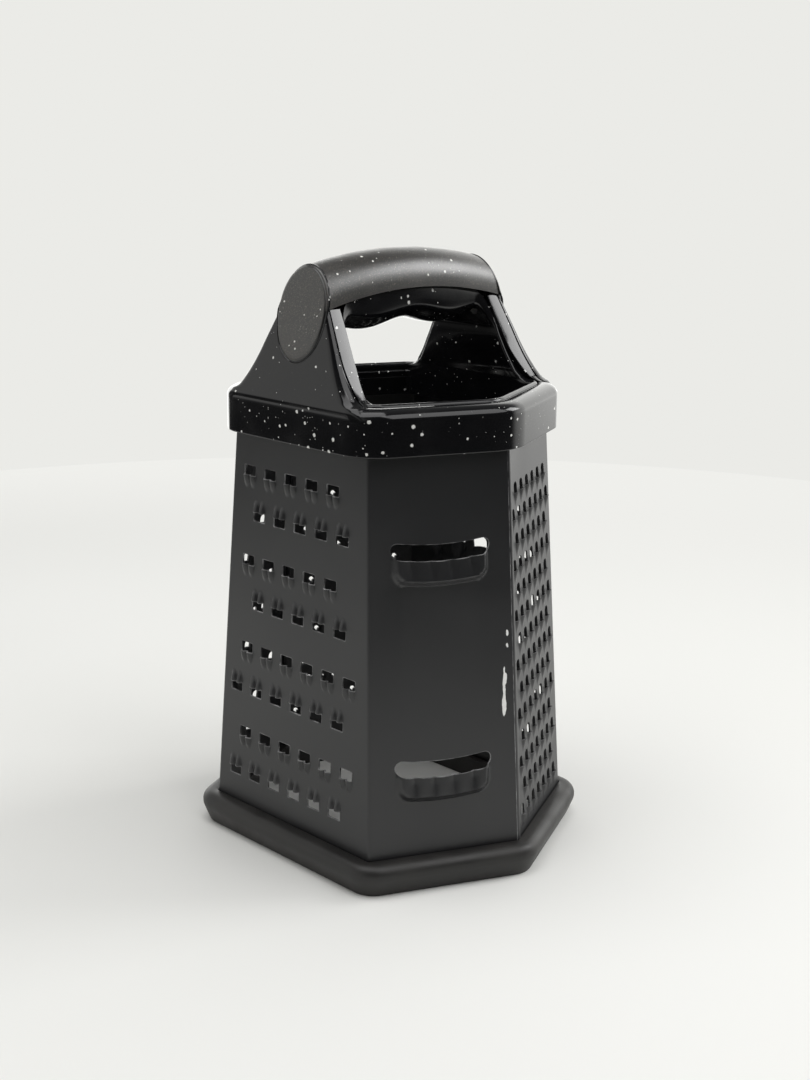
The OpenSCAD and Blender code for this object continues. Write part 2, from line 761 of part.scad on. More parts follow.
// Everything between the two posts' outer faces, moved out by o
module between_posts(o) {
    z1 = deck_z - deck_t;
    z2 = deck_z + handle_rise + over;
    rotate([90, 0, 0])
        linear_extrude(2 * (grip_w + over), center = true)
            polygon([[-post_face(z1) - o, z1], [post_face(z1) + o, z1],
                     [post_face(z2) + o, z2], [-post_face(z2) - o, z2]]);
}

// Oval that fills a pad's outline, grown by grow, from depth below the face to height above it
module pad_block(side, grow, depth, height) {
    slope = 1 / cos(post_lean);
    on_post(side)
        translate([0, (pad_z + crease_drop) * slope, -depth])
            linear_extrude(depth + height)
                scale([pad_w / 2 + grow, (pad_h / 2 + grow) * slope])
                    circle(1, $fn = 96);
}

// Half width and height of the hidden core inside the grip cover
core_w = grip_w / 2 - grip_wall - fit;
core_h = grip_h - grip_wall - 2 * fit;

// Necks that run from the posts' heads up into the core
module necks() {
    w = core_w - neck_step;
    for (m = [0, 1])
        mirror([m, 0, 0])
            translate([head_in, -w, head_z - neck_h])
                cube([post_face(head_z) - head_in, 2 * w, 2 * neck_h]);
}

module top_frame() {
    sunk = pad_t - pad_proud + fit;
    color("#101113")
        difference() {
            union() {
                sweep(skirt_az, skirt_dist, skirt_radii, collar_profile);
                locating_web();
                intersection() {
                    post_front(0, deck_z - shoulder_r);
                    posts_side();
                    linear_extrude(deck_z + handle_rise)
                        plan(skirt_az, skirt_dist, skirt_radii, post_step);
                }
                necks();
                intersection() {
                    difference() {
                        arch_bar(arch_low_r + fit, core_w, core_h);
                        arch_bar(arch_low_r - over, core_w - core_wall, core_h - core_wall + over);
                    }
                    between_posts(-sunk);
                }
            }
            for (side = [-1, 1])
                pad_block(side, fit, sunk, grip_w);
        }
}

// Wall of the liner with its bead on top and two ledges inside
ledge_in = -bead_w - ledge_w;
liner_low = deck_z - liner_depth;
liner_profile = concat(
    [[ledge_in - step_w, liner_low], [0, liner_low]],
    arc([-bead_w / 2, deck_z + bead_h - bead_w / 2], bead_w / 2, 0, 180, 2 * round_steps),
    [[-bead_w, deck_z - ledge_z], [ledge_in, deck_z - ledge_z],
     [ledge_in, deck_z - ledge_z - ledge_step], [ledge_in - step_w, deck_z - ledge_z - ledge_step]]);

// The liner's two uprights and the underside of the bar seen from the side
module liner_side() {
    wave_half = mouth_x - turn_l;
    turn_z = deck_z + under_z - turn_drop;
    difference() {
        intersection() {
            translate([0, arch_z])
                circle(arch_low_r - fit, $fn = 720);
            for (m = [0, 1])
                mirror([m, 0])
                    polygon([[-over, liner_low], [foot_in - fit, liner_low],
                             [foot_in - fit, deck_z + knee_low], [knee_in - fit, deck_z + knee_z],
                             [head_in - fit, head_z], [head_in - fit, head_z + head_over],
                             [-over, head_z + head_over]]);
        }
        polygon(concat(
            [[-mouth_x, liner_low - over], [mouth_x, liner_low - over], [mouth_x, turn_z]],
            [for (i = [0 : wave_points])
                let (x = wave_half * (1 - 2 * i / wave_points))
                [x, deck_z + under_z + wave_h * cos(360 * x / wave_l)]],
            [[-mouth_x, turn_z]]));
    }
}

module handle_liner() {
    hollow_w = post_head_w - 2 * (liner_step + under_wall);
    color("#131416")
        difference() {
            union() {
                sweep(skirt_az, mouth_dist, mouth_radii, liner_profile);
                intersection() {
                    rotate([90, 0, 0])
                        linear_extrude(post_foot_w, center = true)
                            liner_side();
                    post_front(liner_step, liner_low);
                }
            }
            translate([0, 0, deck_z + under_z + wave_h + under_wall])
                linear_extrude(grip_h)
                    square([2 * (mouth_x - turn_l), hollow_w], center = true);
            translate([0, 0, deck_z + under_z - recess_drop])
                rotate([0, 90, 0])
                    cylinder(d = recess_d, h = 2 * (mouth_x + recess_t), center = true);
        }
}

module grip_cover() {
    color("#232220")
        union() {
            intersection() {
                difference() {
                    arch_bar(arch_low_r, grip_w / 2, grip_h);
                    arch_bar(arch_low_r - over, grip_w / 2 - grip_wall, grip_h - grip_wall + over);
                }
                between_posts(pad_proud);
            }
            for (side = [-1, 1])
                pad_block(side, 0, pad_t - pad_proud, pad_proud);
        }
}

front_shell();
rear_shell();
base_ring();
top_frame();
handle_liner();
grip_cover();
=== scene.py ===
# %% [markdown]
# # A six-sided box grater
# The grater is two folded sheet steel half shells in a rubber base ring, with a glossy moulded collar, a
# bar handle between two flared posts, a liner in the top opening and a soft cover over the bar. The
# construction model is the fixed frame. Every piece here is rebuilt in mesh code round that frame, with the
# pressed lobes, rolled bends and rounded moulded edges of the real thing.

# %% The frame
import math

import bmesh
import bpy
import numpy as np
from mathutils import Matrix, Vector
from mathutils.geometry import delaunay_2d_cdt


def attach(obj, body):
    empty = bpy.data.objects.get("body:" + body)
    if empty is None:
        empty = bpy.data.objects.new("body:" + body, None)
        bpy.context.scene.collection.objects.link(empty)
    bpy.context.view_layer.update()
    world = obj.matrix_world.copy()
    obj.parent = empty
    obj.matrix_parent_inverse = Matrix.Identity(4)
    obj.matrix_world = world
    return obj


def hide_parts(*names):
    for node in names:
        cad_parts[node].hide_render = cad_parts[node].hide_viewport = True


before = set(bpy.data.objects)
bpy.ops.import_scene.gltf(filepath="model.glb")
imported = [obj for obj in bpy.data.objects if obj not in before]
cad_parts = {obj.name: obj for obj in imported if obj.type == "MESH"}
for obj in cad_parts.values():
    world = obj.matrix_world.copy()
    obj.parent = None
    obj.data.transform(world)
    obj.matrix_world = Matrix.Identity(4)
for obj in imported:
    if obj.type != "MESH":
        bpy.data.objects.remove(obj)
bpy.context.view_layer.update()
MM = 0.001

# %% [markdown]
# ## Camera
# A camera could be aimed by hand, but the photograph's edges fix it: they give a focal length, a bearing,
# a height and a small roll. The same numbers go into the camera's matrix, whose columns are its right, up
# and back directions.

# %% Camera
FOCAL_PIXELS, LONG_SIDE, SENSOR = 1552, 1080, 36
BEARING, HEIGHT_ANGLE, ROLL = math.radians(-44.67), math.radians(14.64), math.radians(0.66)
DISTANCE, SLIDE_RIGHT, SLIDE_UP = 496.14, 3.9, -14.43
AIM = Vector((0, 0, 110))


def new_object(name, data):
    thing = bpy.data.objects.new(name, data)
    bpy.context.scene.collection.objects.link(thing)
    return thing


back = Vector((math.sin(BEARING) * math.cos(HEIGHT_ANGLE),
               -math.cos(BEARING) * math.cos(HEIGHT_ANGLE), math.sin(HEIGHT_ANGLE)))
level = Vector((math.cos(BEARING), math.sin(BEARING), 0))
lift = back.cross(level)
right = math.cos(ROLL) * level + math.sin(ROLL) * lift
up = math.cos(ROLL) * lift - math.sin(ROLL) * level
place = (AIM + back * DISTANCE + right * SLIDE_RIGHT + up * SLIDE_UP) * MM

camera_data = bpy.data.cameras.new("camera")
camera_data.lens = FOCAL_PIXELS * SENSOR / LONG_SIDE
camera_data.sensor_width = SENSOR
camera_data.clip_start = 0.01
camera = new_object("camera", camera_data)
camera.matrix_world = Matrix.Translation(place) @ Matrix((right, up, back)).transposed().to_4x4()
bpy.context.scene.camera = camera
bpy.context.scene.view_settings.view_transform = "Standard"
print("camera at", [round(c, 4) for c in place])

# %% [markdown]
# ## Node helpers
# A material is a graph of nodes. These helpers keep the graphs short to write: one adds a node and sets
# its inputs, others add a usual step such as noise, a soft ramp or a bump, and one makes a node group with
# named sockets, which several materials can then share.


# %% Node helpers
def plug(tree, node, inputs):
    """Links each named input to a socket, or writes a plain value on it."""
    for key, value in inputs.items():
        if isinstance(value, bpy.types.NodeSocket):
            tree.links.new(value, node.inputs[key])
        else:
            node.inputs[key].default_value = value
    return node


def add_node(tree, kind, inputs=None, **settings):
    node = tree.nodes.new(kind)
    for key, value in settings.items():
        setattr(node, key, value)
    return plug(tree, node, inputs or {})


def math_node(tree, operation, a, b=0.0):
    return add_node(tree, "ShaderNodeMath", {0: a, 1: b}, operation=operation).outputs[0]


def product(tree, a, b):
    return math_node(tree, "MULTIPLY", a, b)


def vector_node(tree, operation, *inputs):
    return add_node(tree, "ShaderNodeVectorMath", dict(enumerate(inputs)), operation=operation).outputs


def ramp(tree, value, low, high, start=0.0, end=1.0):
    return add_node(tree, "ShaderNodeMapRange", {"Value": value, "From Min": low, "From Max": high,
                    "To Min": start, "To Max": end}, interpolation_type="SMOOTHSTEP").outputs[0]


def layered(tree, colour, *layers):
    """Lays each (mask, shade) over the colour below it."""
    for mask, shade in layers:
        colour = add_node(tree, "ShaderNodeMix", {0: mask, 6: colour, 7: shade}, data_type="RGBA").outputs[2]
    return colour


def object_place(tree):
    return add_node(tree, "ShaderNodeTexCoord").outputs["Object"]


def noise(tree, scale, detail, output=0, **more):
    inputs = {"Vector": object_place(tree), "Scale": scale, "Detail": detail, **more}
    return add_node(tree, "ShaderNodeTexNoise", inputs).outputs[output]


def wandered(tree, scale, detail, reach):
    """Object coordinates, pushed about by three-valued noise."""
    return vector_node(tree, "MULTIPLY_ADD", noise(tree, scale, detail, "Color"), (reach,) * 3,
                       object_place(tree))[0]


def bump(tree, height, distance, strength, **more):
    inputs = {"Height": height, "Distance": distance, "Strength": strength, **more}
    return add_node(tree, "ShaderNodeBump", inputs).outputs[0]


def stored_rim(tree):
    """The number that the mesh code stores on each point: 1 on a worn edge of the sheet, and on the cover 1
    where shade is painted into the crease round each pad.
    """
    return add_node(tree, "ShaderNodeAttribute", attribute_name="rim").outputs["Fac"]


def new_group(name, output, inputs):
    group = bpy.data.node_groups.new(name, "ShaderNodeTree")
    for label, value in inputs.items():
        socket = group.interface.new_socket(label, in_out="INPUT", socket_type="NodeSocketFloat")
        socket.default_value = value
    group.interface.new_socket(output, in_out="OUTPUT", socket_type="NodeSocketFloat")
    return group, group.nodes.new("NodeGroupInput").outputs


def put_out(group, output, value):
    add_node(group, "NodeGroupOutput", {output: value})
    print(group.name + ":", len(group.nodes), "nodes")


def use_group(tree, group, **inputs):
    values = {label.replace("_", " "): value for label, value in inputs.items()}
    return add_node(tree, "ShaderNodeGroup", values, node_tree=group).outputs[0]


def new_material(name):
    material = bpy.data.materials.new(name)
    material.use_nodes = True
    return material, material.node_tree


def fill_shader(owner, inputs, shader="Principled BSDF"):
    """Plugs the shader of a material or of the world."""
    plug(owner.node_tree, owner.node_tree.nodes[shader], inputs)
    print(owner.name + ":", len(owner.node_tree.nodes), "nodes")


print("node helpers ready")

# %% [markdown]
# ## Shared effects
# Four effects are groups. White flecks are moulded into the plastic: a cell pattern gives one centre per
# cell, each with a random size, so that a few flecks are large and most are tiny. Grain is fine noise for
# colour and bump. Smudges are wide soft noise for gloss, as hands leave them. Rim wear reads the number
# stored on each edge and breaks it up with noise.

# %% Flecks group
FLECK_WOBBLE, FLECK_LEAST, FLECK_EDGE = 0.0004, 0.25, 0.8
flecks, given = new_group("white_flecks", "Mask", {"Cells": 200, "Radius": 0.2, "Share": 0.3})
cells = add_node(flecks, "ShaderNodeTexVoronoi", {"Vector": wandered(flecks, 1500, 1, FLECK_WOBBLE),
                 "Scale": given["Cells"]}).outputs
chance = add_node(flecks, "ShaderNodeSeparateColor", {"Color": cells["Color"]}).outputs
grown = math_node(flecks, "ADD", math_node(flecks, "POWER", chance[0], 3.0), FLECK_LEAST)
radius = product(flecks, given["Radius"], grown)
present = math_node(flecks, "LESS_THAN", chance[1], given["Share"])
inside = add_node(flecks, "ShaderNodeMapRange", {"Value": cells["Distance"], "From Min": radius,
                  "From Max": product(flecks, radius, FLECK_EDGE)}, clamp=True).outputs[0]
put_out(flecks, "Mask", product(flecks, inside, present))

# %% Grain, smudge and rim groups
grain, given = new_group("fine_grain", "Value", {"Scale": 3000, "Detail": 3})
put_out(grain, "Value", noise(grain, given["Scale"], given["Detail"], Roughness=0.6))

smudge, given = new_group("soft_smudges", "Value", {"Scale": 40, "Low": 0.35, "High": 0.7})
wide = noise(smudge, given["Scale"], 2, Distortion=0.6)
put_out(smudge, "Value", ramp(smudge, wide, given["Low"], given["High"]))

rim, given = new_group("rim_wear", "Mask", {"Strength": 1, "Break up": 0.4})
patchy = ramp(rim, noise(rim, 300, 2), given["Break up"], 0.75)
put_out(rim, "Mask", product(rim, product(rim, stored_rim(rim), given["Strength"]), patchy))

# %% [markdown]
# ## Coated sheet
# The steel carries a dark non-stick coating: near black, slightly cool, half matt and finely textured. Wide
# soft changes of roughness show how it was sprayed, a weak long wave shows that thin sheet is never quite
# flat, and the punched edges catch light because the coating is thin there. One long chip and a few small
# ones show pale metal beside the seam.

# %% Coated sheet material
CHIPS = [((-2.8, -52.1, 59.9), 10.0, 0.50), ((-3.0, -52.6, 54.4), 4.4, 0.75),
         ((-2.5, -52.3, 62.5), 2.4, 0.62), ((-1.5, -51.6, 76.4), 1.1, 0.40),
         ((-1.6, -51.8, 72.6), 0.7, 0.42)]
CHIP_WANDER = 0.9
COAT_DARK, COAT_PALE = (0.0130, 0.0133, 0.0145, 1), (0.0165, 0.0167, 0.0180, 1)
COAT_SPOT, WORN_EDGE, BARE_METAL = (0.05, 0.05, 0.052, 1), (0.42, 0.42, 0.425, 1), (0.95, 0.95, 0.93, 1)


def chip_mask(tree, centre, half_length, half_width):
    """An upright ragged oval. The noise averages half, so the centre moves by half its reach."""
    middle = tuple((c + CHIP_WANDER / 2) * MM for c in centre)
    half_length, half_width = half_length * MM, half_width * MM
    pushed = wandered(tree, 420, 4, CHIP_WANDER * MM)
    offset = vector_node(tree, "SUBTRACT", pushed, middle)[0]
    scaled = vector_node(tree, "MULTIPLY", offset, (1 / half_width, 1 / half_width, 1 / half_length))[0]
    return ramp(tree, vector_node(tree, "LENGTH", scaled)["Value"], 1.0, 0.9)


sheet_material, tree = new_material("coated_sheet")
wide = use_group(tree, smudge, Scale=18.0)
fine = use_group(tree, grain, Scale=2600.0)
worn = use_group(tree, rim, Strength=0.9, Break_up=0.25)
coat = layered(tree, COAT_DARK, (wide, COAT_PALE), (ramp(tree, fine, 0.72, 0.80, 0, 0.5), COAT_SPOT),
               (worn, WORN_EDGE), *((chip_mask(tree, *chip), BARE_METAL) for chip in CHIPS))
wave = bump(tree, noise(tree, 22, 0), 0.0006, 0.25)
fill_shader(sheet_material, {"Base Color": coat, "Roughness": ramp(tree, wide, 0, 1, 0.33, 0.40),
            "Specular IOR Level": 0.62, "Normal": bump(tree, fine, 0.00003, 0.35, Normal=wave)})

# %% [markdown]
# ## Speckled gloss plastic, soft cover and rubber
# The collar, posts and liner are injection moulded black plastic, polished and speckled with white. The
# cover is the same black under a soft-touch skin, full of fine bright grains, with shade painted near black
# into the crease round each pad. The base ring is a softer rubber with a brownish cast. All three are built
# from the same groups with their own sizes.

# %% Gloss plastic
PLASTIC_DARK, PLASTIC_PALE = (0.0045, 0.0046, 0.0055, 1), (0.007, 0.007, 0.0078, 1)
SMALL_FLECK, LARGE_FLECK = (0.55, 0.55, 0.53, 1), (0.85, 0.85, 0.82, 1)
gloss_material, tree = new_material("speckled_gloss_plastic")
large = use_group(tree, flecks, Cells=370.0, Radius=0.21, Share=0.75)
small = use_group(tree, flecks, Cells=900.0, Radius=0.17, Share=0.30)
film = use_group(tree, smudge, Scale=55.0)
ripple = use_group(tree, grain, Scale=160.0, Detail=1.0)
black = layered(tree, PLASTIC_DARK, (film, PLASTIC_PALE), (small, SMALL_FLECK), (large, LARGE_FLECK))
fill_shader(gloss_material, {"Base Color": black, "Roughness": ramp(tree, film, 0, 1, 0.10, 0.17),
            "Normal": bump(tree, ripple, 0.0002, 0.06)})

# %% Soft cover
SOFT_DARK, SOFT_PALE = (0.010, 0.0095, 0.009, 1), (0.018, 0.0165, 0.0145, 1)
# The crease colour is painted shade: near black on the points that the cover stores as the crease round each
# pad.
SOFT_GRAIN, PAINTED_CREASE_SHADE = (0.26, 0.23, 0.18, 1), (0.002, 0.002, 0.002, 1)
DIM_FLECK, CLEAR_FLECK = (0.22, 0.21, 0.19, 1), (0.80, 0.79, 0.75, 1)
cover_material, tree = new_material("soft_touch_cover")
large = use_group(tree, flecks, Cells=400.0, Radius=0.17, Share=0.80)
small = use_group(tree, flecks, Cells=1100.0, Radius=0.22, Share=0.50)
fine = use_group(tree, grain, Scale=4200.0, Detail=2.0)
handled = use_group(tree, smudge, Scale=60.0)
soft = layered(tree, SOFT_DARK, (handled, SOFT_PALE), (ramp(tree, fine, 0.57, 0.72, 0, 0.9), SOFT_GRAIN),
               (small, DIM_FLECK), (large, CLEAR_FLECK), (stored_rim(tree), PAINTED_CREASE_SHADE))
fill_shader(cover_material, {"Base Color": soft, "Roughness": ramp(tree, handled, 0, 1, 0.30, 0.36),
            "Specular IOR Level": 1.0, "Normal": bump(tree, fine, 0.00006, 0.5)})

# %% Rubber
RUBBER_DARK, RUBBER_PALE = (0.013, 0.0122, 0.0115, 1), (0.021, 0.0195, 0.018, 1)
RUBBER_GRAIN = (0.07, 0.066, 0.06, 1)
rubber_material, tree = new_material("base_rubber")
fine = use_group(tree, grain, Scale=2400.0)
dusty = use_group(tree, smudge, Scale=70.0)
grains = ramp(tree, fine, 0.64, 0.8, 0, 0.6)
rubber = layered(tree, RUBBER_DARK, (dusty, RUBBER_PALE), (grains, RUBBER_GRAIN))
fill_shader(rubber_material, {"Base Color": rubber, "Roughness": ramp(tree, dusty, 0, 1, 0.44, 0.54),
            "Normal": bump(tree, fine, 0.00008, 0.5)})

# %% [markdown]
# ## Turning points into pieces
# Every piece is made the same way: lists of points in millimetres, faces that join them, normals turned
# outwards, smooth shading with a sharp line only where two faces meet at a clear angle. The piece then rides
# on the frame's one body and carries its material, and the frame's plain solid that it stands in for is
# hidden.

# %% Piece helpers
SHARP = math.radians(32)


def make_piece(name, skin, material, node, rims=None):
    mesh = bpy.data.meshes.new(name)
    mesh.from_pydata([Vector(p) * MM for p in skin[0]], [], skin[1])
    if rims is not None:
        mesh.attributes.new("rim", "FLOAT", "POINT").data.foreach_set("value", rims)
    work = bmesh.new()
    work.from_mesh(mesh)
    bmesh.ops.recalc_face_normals(work, faces=work.faces)
    work.to_mesh(mesh)
    work.free()
    mesh.shade_smooth()
    mesh.set_sharp_from_angle(angle=SHARP)
    mesh.materials.append(material)
    piece = new_object(name, mesh)
    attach(piece, "root")
    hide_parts(node)
    print(name + ":", len(mesh.vertices), "points,", len(mesh.polygons), "faces")


def add_skin(skin, loops, closed=False, capped=True):
    """Adds equal loops and their faces to a skin. The last loop joins the first, or both are capped."""
    points, faces = skin
    start, count, size = len(points), len(loops), len(loops[0])
    points.extend(p for loop in loops for p in loop)
    for i in range(count if closed else count - 1):
        a, b = start + i * size, start + (i + 1) % count * size
        faces += [(a + j, a + (j + 1) % size, b + (j + 1) % size, b + j) for j in range(size)]
    if capped and not closed:
        faces += [tuple(range(first, first + size)) for first in (start, start + size * (count - 1))]


def in_plan(azimuth, out, across=0.0):
    """Place at a distance out along an azimuth in degrees, and a distance across it."""
    az = math.radians(azimuth)
    return out * math.cos(az) - across * math.sin(az), out * math.sin(az) + across * math.cos(az)


def arc_points(centre, radius, start, end, steps):
    """Points of an arc in the plane, with its angles in degrees."""
    arc = [in_plan(start + (end - start) * i / steps, radius) for i in range(steps + 1)]
    return [(centre[0] + x, centre[1] + y) for x, y in arc]


def clamp(value):
    return max(0.0, min(1.0, value))


def eased(share):
    return share * share * (3 - 2 * share)


print("piece helpers ready")

# %% [markdown]
# ## The body's six planes
# Each face of the body leans inwards, so its distance from the axis depends on the height. A point on a face
# is given by u along the face, v up its slope and n outwards, and one function turns that into a place in
# space. Two neighbouring faces meet where two lines cross in plan.

# %% Body planes
RING_H, SHOW_H, COLLAR_H = 10.0, 122.2, 13.8
FOOT_DEPTH, NECK_DEPTH, FOOT_WIDTH, NECK_WIDTH = 88.2, 78.5, 73.0, 59.9
MID_TURN, SKIRT_TURN = 25.0, 23.5
NECK_Z = RING_H + SHOW_H
DECK_Z = NECK_Z + COLLAR_H
SHEET_T, SHEET_ENDS = 0.5, (2.2, DECK_Z - 1.95)
FACE_AZ, SKIRT_AZ = ([0, 90 - t, 90 + t, 180, 270 - t, 270 + t] for t in (MID_TURN, SKIRT_TURN))


def half_size(foot, neck, z):
    return foot / 2 + (neck - foot) / 2 * (z - RING_H) / SHOW_H


def face_dist(k, z):
    turn = math.radians(MID_TURN)
    depth, width = half_size(FOOT_DEPTH, NECK_DEPTH, z), half_size(FOOT_WIDTH, NECK_WIDTH, z)
    return width * math.cos(turn) + depth * math.sin(turn) if k % 3 else depth


def lean(k):
    return math.atan((face_dist(k, RING_H) - face_dist(k, NECK_Z)) / SHOW_H)


def meet(az_a, dist_a, az_b, dist_b):
    a, b = math.radians(az_a), math.radians(az_b)
    across = math.sin(b - a)
    return ((dist_a * math.sin(b) - dist_b * math.sin(a)) / across,
            (dist_b * math.cos(a) - dist_a * math.cos(b)) / across)


def along(k, point):
    az = math.radians(FACE_AZ[k])
    return point[1] * math.cos(az) - point[0] * math.sin(az)


def on_face(k, u, v, n):
    tilt = lean(k)
    x, y = in_plan(FACE_AZ[k], face_dist(k, 0) - v * math.sin(tilt) + n * math.cos(tilt), u)
    return (x, y, v * math.cos(tilt) + n * math.sin(tilt))


def slope_v(k, z):
    return z / math.cos(lean(k))


print("leans in degrees:", [round(math.degrees(lean(k)), 2) for k in (0, 1)])

# %% [markdown]
# ## Fields of holes
# Each face has rows of holes at a fixed pitch, and every other row is shifted by half a pitch. A site is a
# place along the face, a height, and the side on which the pressed lobe rises: 1 above the hole, -1 below.

# %% Sites
EDGE_STRIP, FINE_STRIP = 3.2, 2.4


def bend_centre(k, z, radius=0.0, out_a=0.0, out_b=0.0):
    """Centre of the bend between face k, moved out by out_a, and the next, moved out by out_b."""
    n = (k + 1) % 6
    return meet(FACE_AZ[k], face_dist(k, z) + out_a - radius, FACE_AZ[n], face_dist(n, z) + out_b - radius)


def face_span(k, z):
    return along(k, bend_centre((k + 5) % 6, z)), along(k, bend_centre(k, z))


def field(k, rows, top, row, pitch, width, shift=0, first_half=0, strip=EDGE_STRIP):
    """Sites of rows that go down from a height, as many as fit between the strips at the face's edges."""
    sites = []
    for i in range(rows):
        z, half = top - row * i, (i + first_half) % 2
        start, end = face_span(k, z)
        most = math.ceil((end - start) / pitch)
        for j in range(-most, most + 1):
            u = (start + end) / 2 + shift + pitch * (j + half / 2)
            if u - width / 2 > start + strip and u + width / 2 < end - strip:
                sites.append((u, z, -1))
    return sites


def coarse_field(rows=8, most=6, pitch=9.6, row=14.3, shift=-1.2, drop=12.1):
    """Rows that face down and up by turns. The upper half of the rows has one hole less in each."""
    sites = []
    for i in range(rows):
        odd, few = i % 2, 1 if i < rows / 2 else 0
        for j in range(odd * few, most - (1 - odd) * few):
            u = shift + pitch * (j - (most - 1) / 2 + (-1 if odd else 1) / 4)
            sites.append((u, NECK_Z - drop - row * i, 1 if odd else -1))
    return sites


large_sites = field(0, 7, 25, -15.6, 10.1, 6.2, shift=-1.1)
pierce_sites = field(1, 17, NECK_Z - 12.5, 6.2, 4.7, 1.55)
medium_sites = field(2, 10, NECK_Z - 13.5, 10.4, 7.8, 4.0)
coarse_sites = coarse_field()
fine_sites = field(5, 14, NECK_Z - 12.7, 7.82, 6.0, 2.8, first_half=1, strip=FINE_STRIP)
print("holes:", len(coarse_sites), "coarse,", len(large_sites), "large,", len(medium_sites), "medium,",
      len(fine_sites), "fine,", len(pierce_sites), "piercings")

# %% [markdown]
# ## Pressing a face
# A punch shears the sheet along one edge and pushes it up into a smooth lobe. A subdivided plane would waste
# points on the flat parts, so each face is a flat outline with the hole outlines and a small grid of points
# round every lobe, triangulated in one go. A height function then lifts the points: it is high at the
# cutting edge, sinks along the lobe and runs out softly into the flat sheet.

# %% Height of the pressed lobes
LEAD, MARGIN, SIDE_RUN = 0.5, 0.7, 0.5
RUN_OUT, END_RUN, GRID_REACH = 0.9, 0.6, 1.4


def soft_max(a, b, blend):
    spread = max(blend - abs(a - b), 0.0) / blend
    return max(a, b) + spread * spread * blend / 4


def grid_points(half, lead, reach, step, least=1):
    """A grid over x from -half to half and over a reach of t that begins a lead before the cutting edge."""
    across, down = (max(least, round(size / step)) for size in (2 * half, reach))
    return [(-half + 2 * half * i / across, -lead + reach * j / down)
            for i in range(across + 1) for j in range(down + 1)]


class Punch:
    """One kind of hole with its lobes, in its own x across and t down the lobe."""

    def __init__(self, width, height, rise, length, radius, centres=(0,), corner=None, fall=1.0):
        self.width, self.height, self.rise, self.length = width, height, rise, length
        self.radius, self.centres, self.fall, self.drop = radius, centres, fall, height / 2
        self.corner, self.corner_steps = (corner, 2) if corner else (0.42 * min(width, height), 6)

    def outline(self):
        w, low, r = self.width / 2, self.corner - self.height, self.corner
        edge = [(w - 2 * w * i / 12, 0.0) for i in range(13)]
        return (edge + arc_points((-w + r, low), r, 180, 270, self.corner_steps)
                + arc_points((w - r, low), r, 270, 360, self.corner_steps))

    def holds(self, x, t):
        w, h = self.width / 2, self.height
        if abs(x) >= w or t >= 0 or t <= -h:
            return False
        dx, dt = abs(x) - (w - self.corner), -t - (h - self.corner)
        return dx <= 0 or dt <= 0 or dx * dx + dt * dt < self.corner * self.corner

    def lobe(self, x, t):
        """Height of one lobe. It sinks over its length, late for a high fall."""
        reach = max(1 - (max(t, 0) / self.length) ** self.fall, -0.3)
        inside = self.radius * self.radius - x * x
        body = self.rise * reach - self.radius + math.sqrt(inside) if inside > 0 else -self.rise
        return soft_max(body, 0, 0.35 * self.rise) * clamp(1 + t / LEAD)

    def lift(self, x, t):
        high = max(self.lobe(x - c, t) for c in self.centres)
        side = clamp((self.width / 2 + MARGIN - abs(x)) / SIDE_RUN)
        return high * side * clamp((self.length + RUN_OUT - t) / END_RUN)

    def grid(self, step):
        return grid_points(self.width / 2 + MARGIN, LEAD, self.length + GRID_REACH, step, 4)


coarse_punch = Punch(5.4, 3.0, 1.05, 3.6, 1.3, (-1.42, 1.42), 0.3, 1.9)
large_punch = Punch(6.2, 4.2, 2.0, 5.6, 3.4)
medium_punch = Punch(4.0, 3.0, 1.2, 3.4, 2.27)
fine_punch = Punch(3.2, 3.2, 1.05, 3.8, 1.75)
print("a coarse hole's outline has", len(coarse_punch.outline()), "points")

# %% [markdown]
# ## Slicing slots and piercings
# The two slicing slots hang down a little in the middle. Below each is a fluted scoop: shallow hollows run
# down it, it stands highest at its foot, and its sides and lower corners are drawn round. The piercings are
# small square holes punched from inside, each in a crown of torn metal. Both answer the same three questions
# as the punches: outline, height and grid.


# %% Slicer and piercing shapes
class Slicer:
    length, height, drop, scoop_h, rise, low, corner = 31.0, 4.7, 0.0, 8.0, 1.6, 2.2, 4.5
    flute_pitch, flute_depth, flute_end, flute_run = 6.35, 0.7, 1.6, 4.5
    wall, bow, lead, side, reach = 2.3, 1.4, 0.8, 0.4, 1.2

    def sag(self, x):
        """Both edges hang down in the middle: how far a point lies above the slot's mean line."""
        return self.bow * (min(abs(2 * x / self.length), 1.0) ** 2 - 0.33)

    def outline(self):
        half, r = self.length / 2, self.height / 2
        flat = self.length - 2 * r
        edge = [(half - r - flat * i / 60, 0.0) for i in range(61)]
        left = arc_points((-half + r, -r), r, 90, 270, 12)[1:]
        low = [(-half + r + flat * i / 40, -self.height) for i in range(1, 40)]
        far = arc_points((half - r, -r), r, -90, 90, 12)[:-1]
        return [(x, t - self.sag(x)) for x, t in edge + left + low + far]

    def holds(self, x, t):
        half, r = self.length / 2, self.height / 2
        dx = max(abs(x) - (half - r), 0)
        return dx * dx + (t + self.sag(x) + r) ** 2 < r * r

    def lift(self, x, t):
        t += self.sag(x)
        half, r = self.length / 2, self.corner
        dx, dt = abs(x) - (half - r), t - (self.scoop_h - r)
        depth = r - math.hypot(dx, dt) if dx > 0 and dt > 0 else min(half - abs(x), self.scoop_h - t)
        if depth <= 0:
            return 0.0
        slope = self.rise - (self.rise - self.low) * max(t, 0) / self.scoop_h
        flute = abs((x / self.flute_pitch + 0.5) % 1.0 - 0.5) * 2
        running = clamp((self.scoop_h - self.flute_end - t) / self.flute_run)
        high = slope - self.flute_depth * flute ** 2.4 * running
        return high * eased(clamp(depth / self.wall)) * clamp(1 + t / self.lead)

    def grid(self, step):
        flat = grid_points(self.length / 2 + self.side, self.lead, self.scoop_h + self.reach, step)
        return [(x, t - self.sag(x)) for x, t in flat]


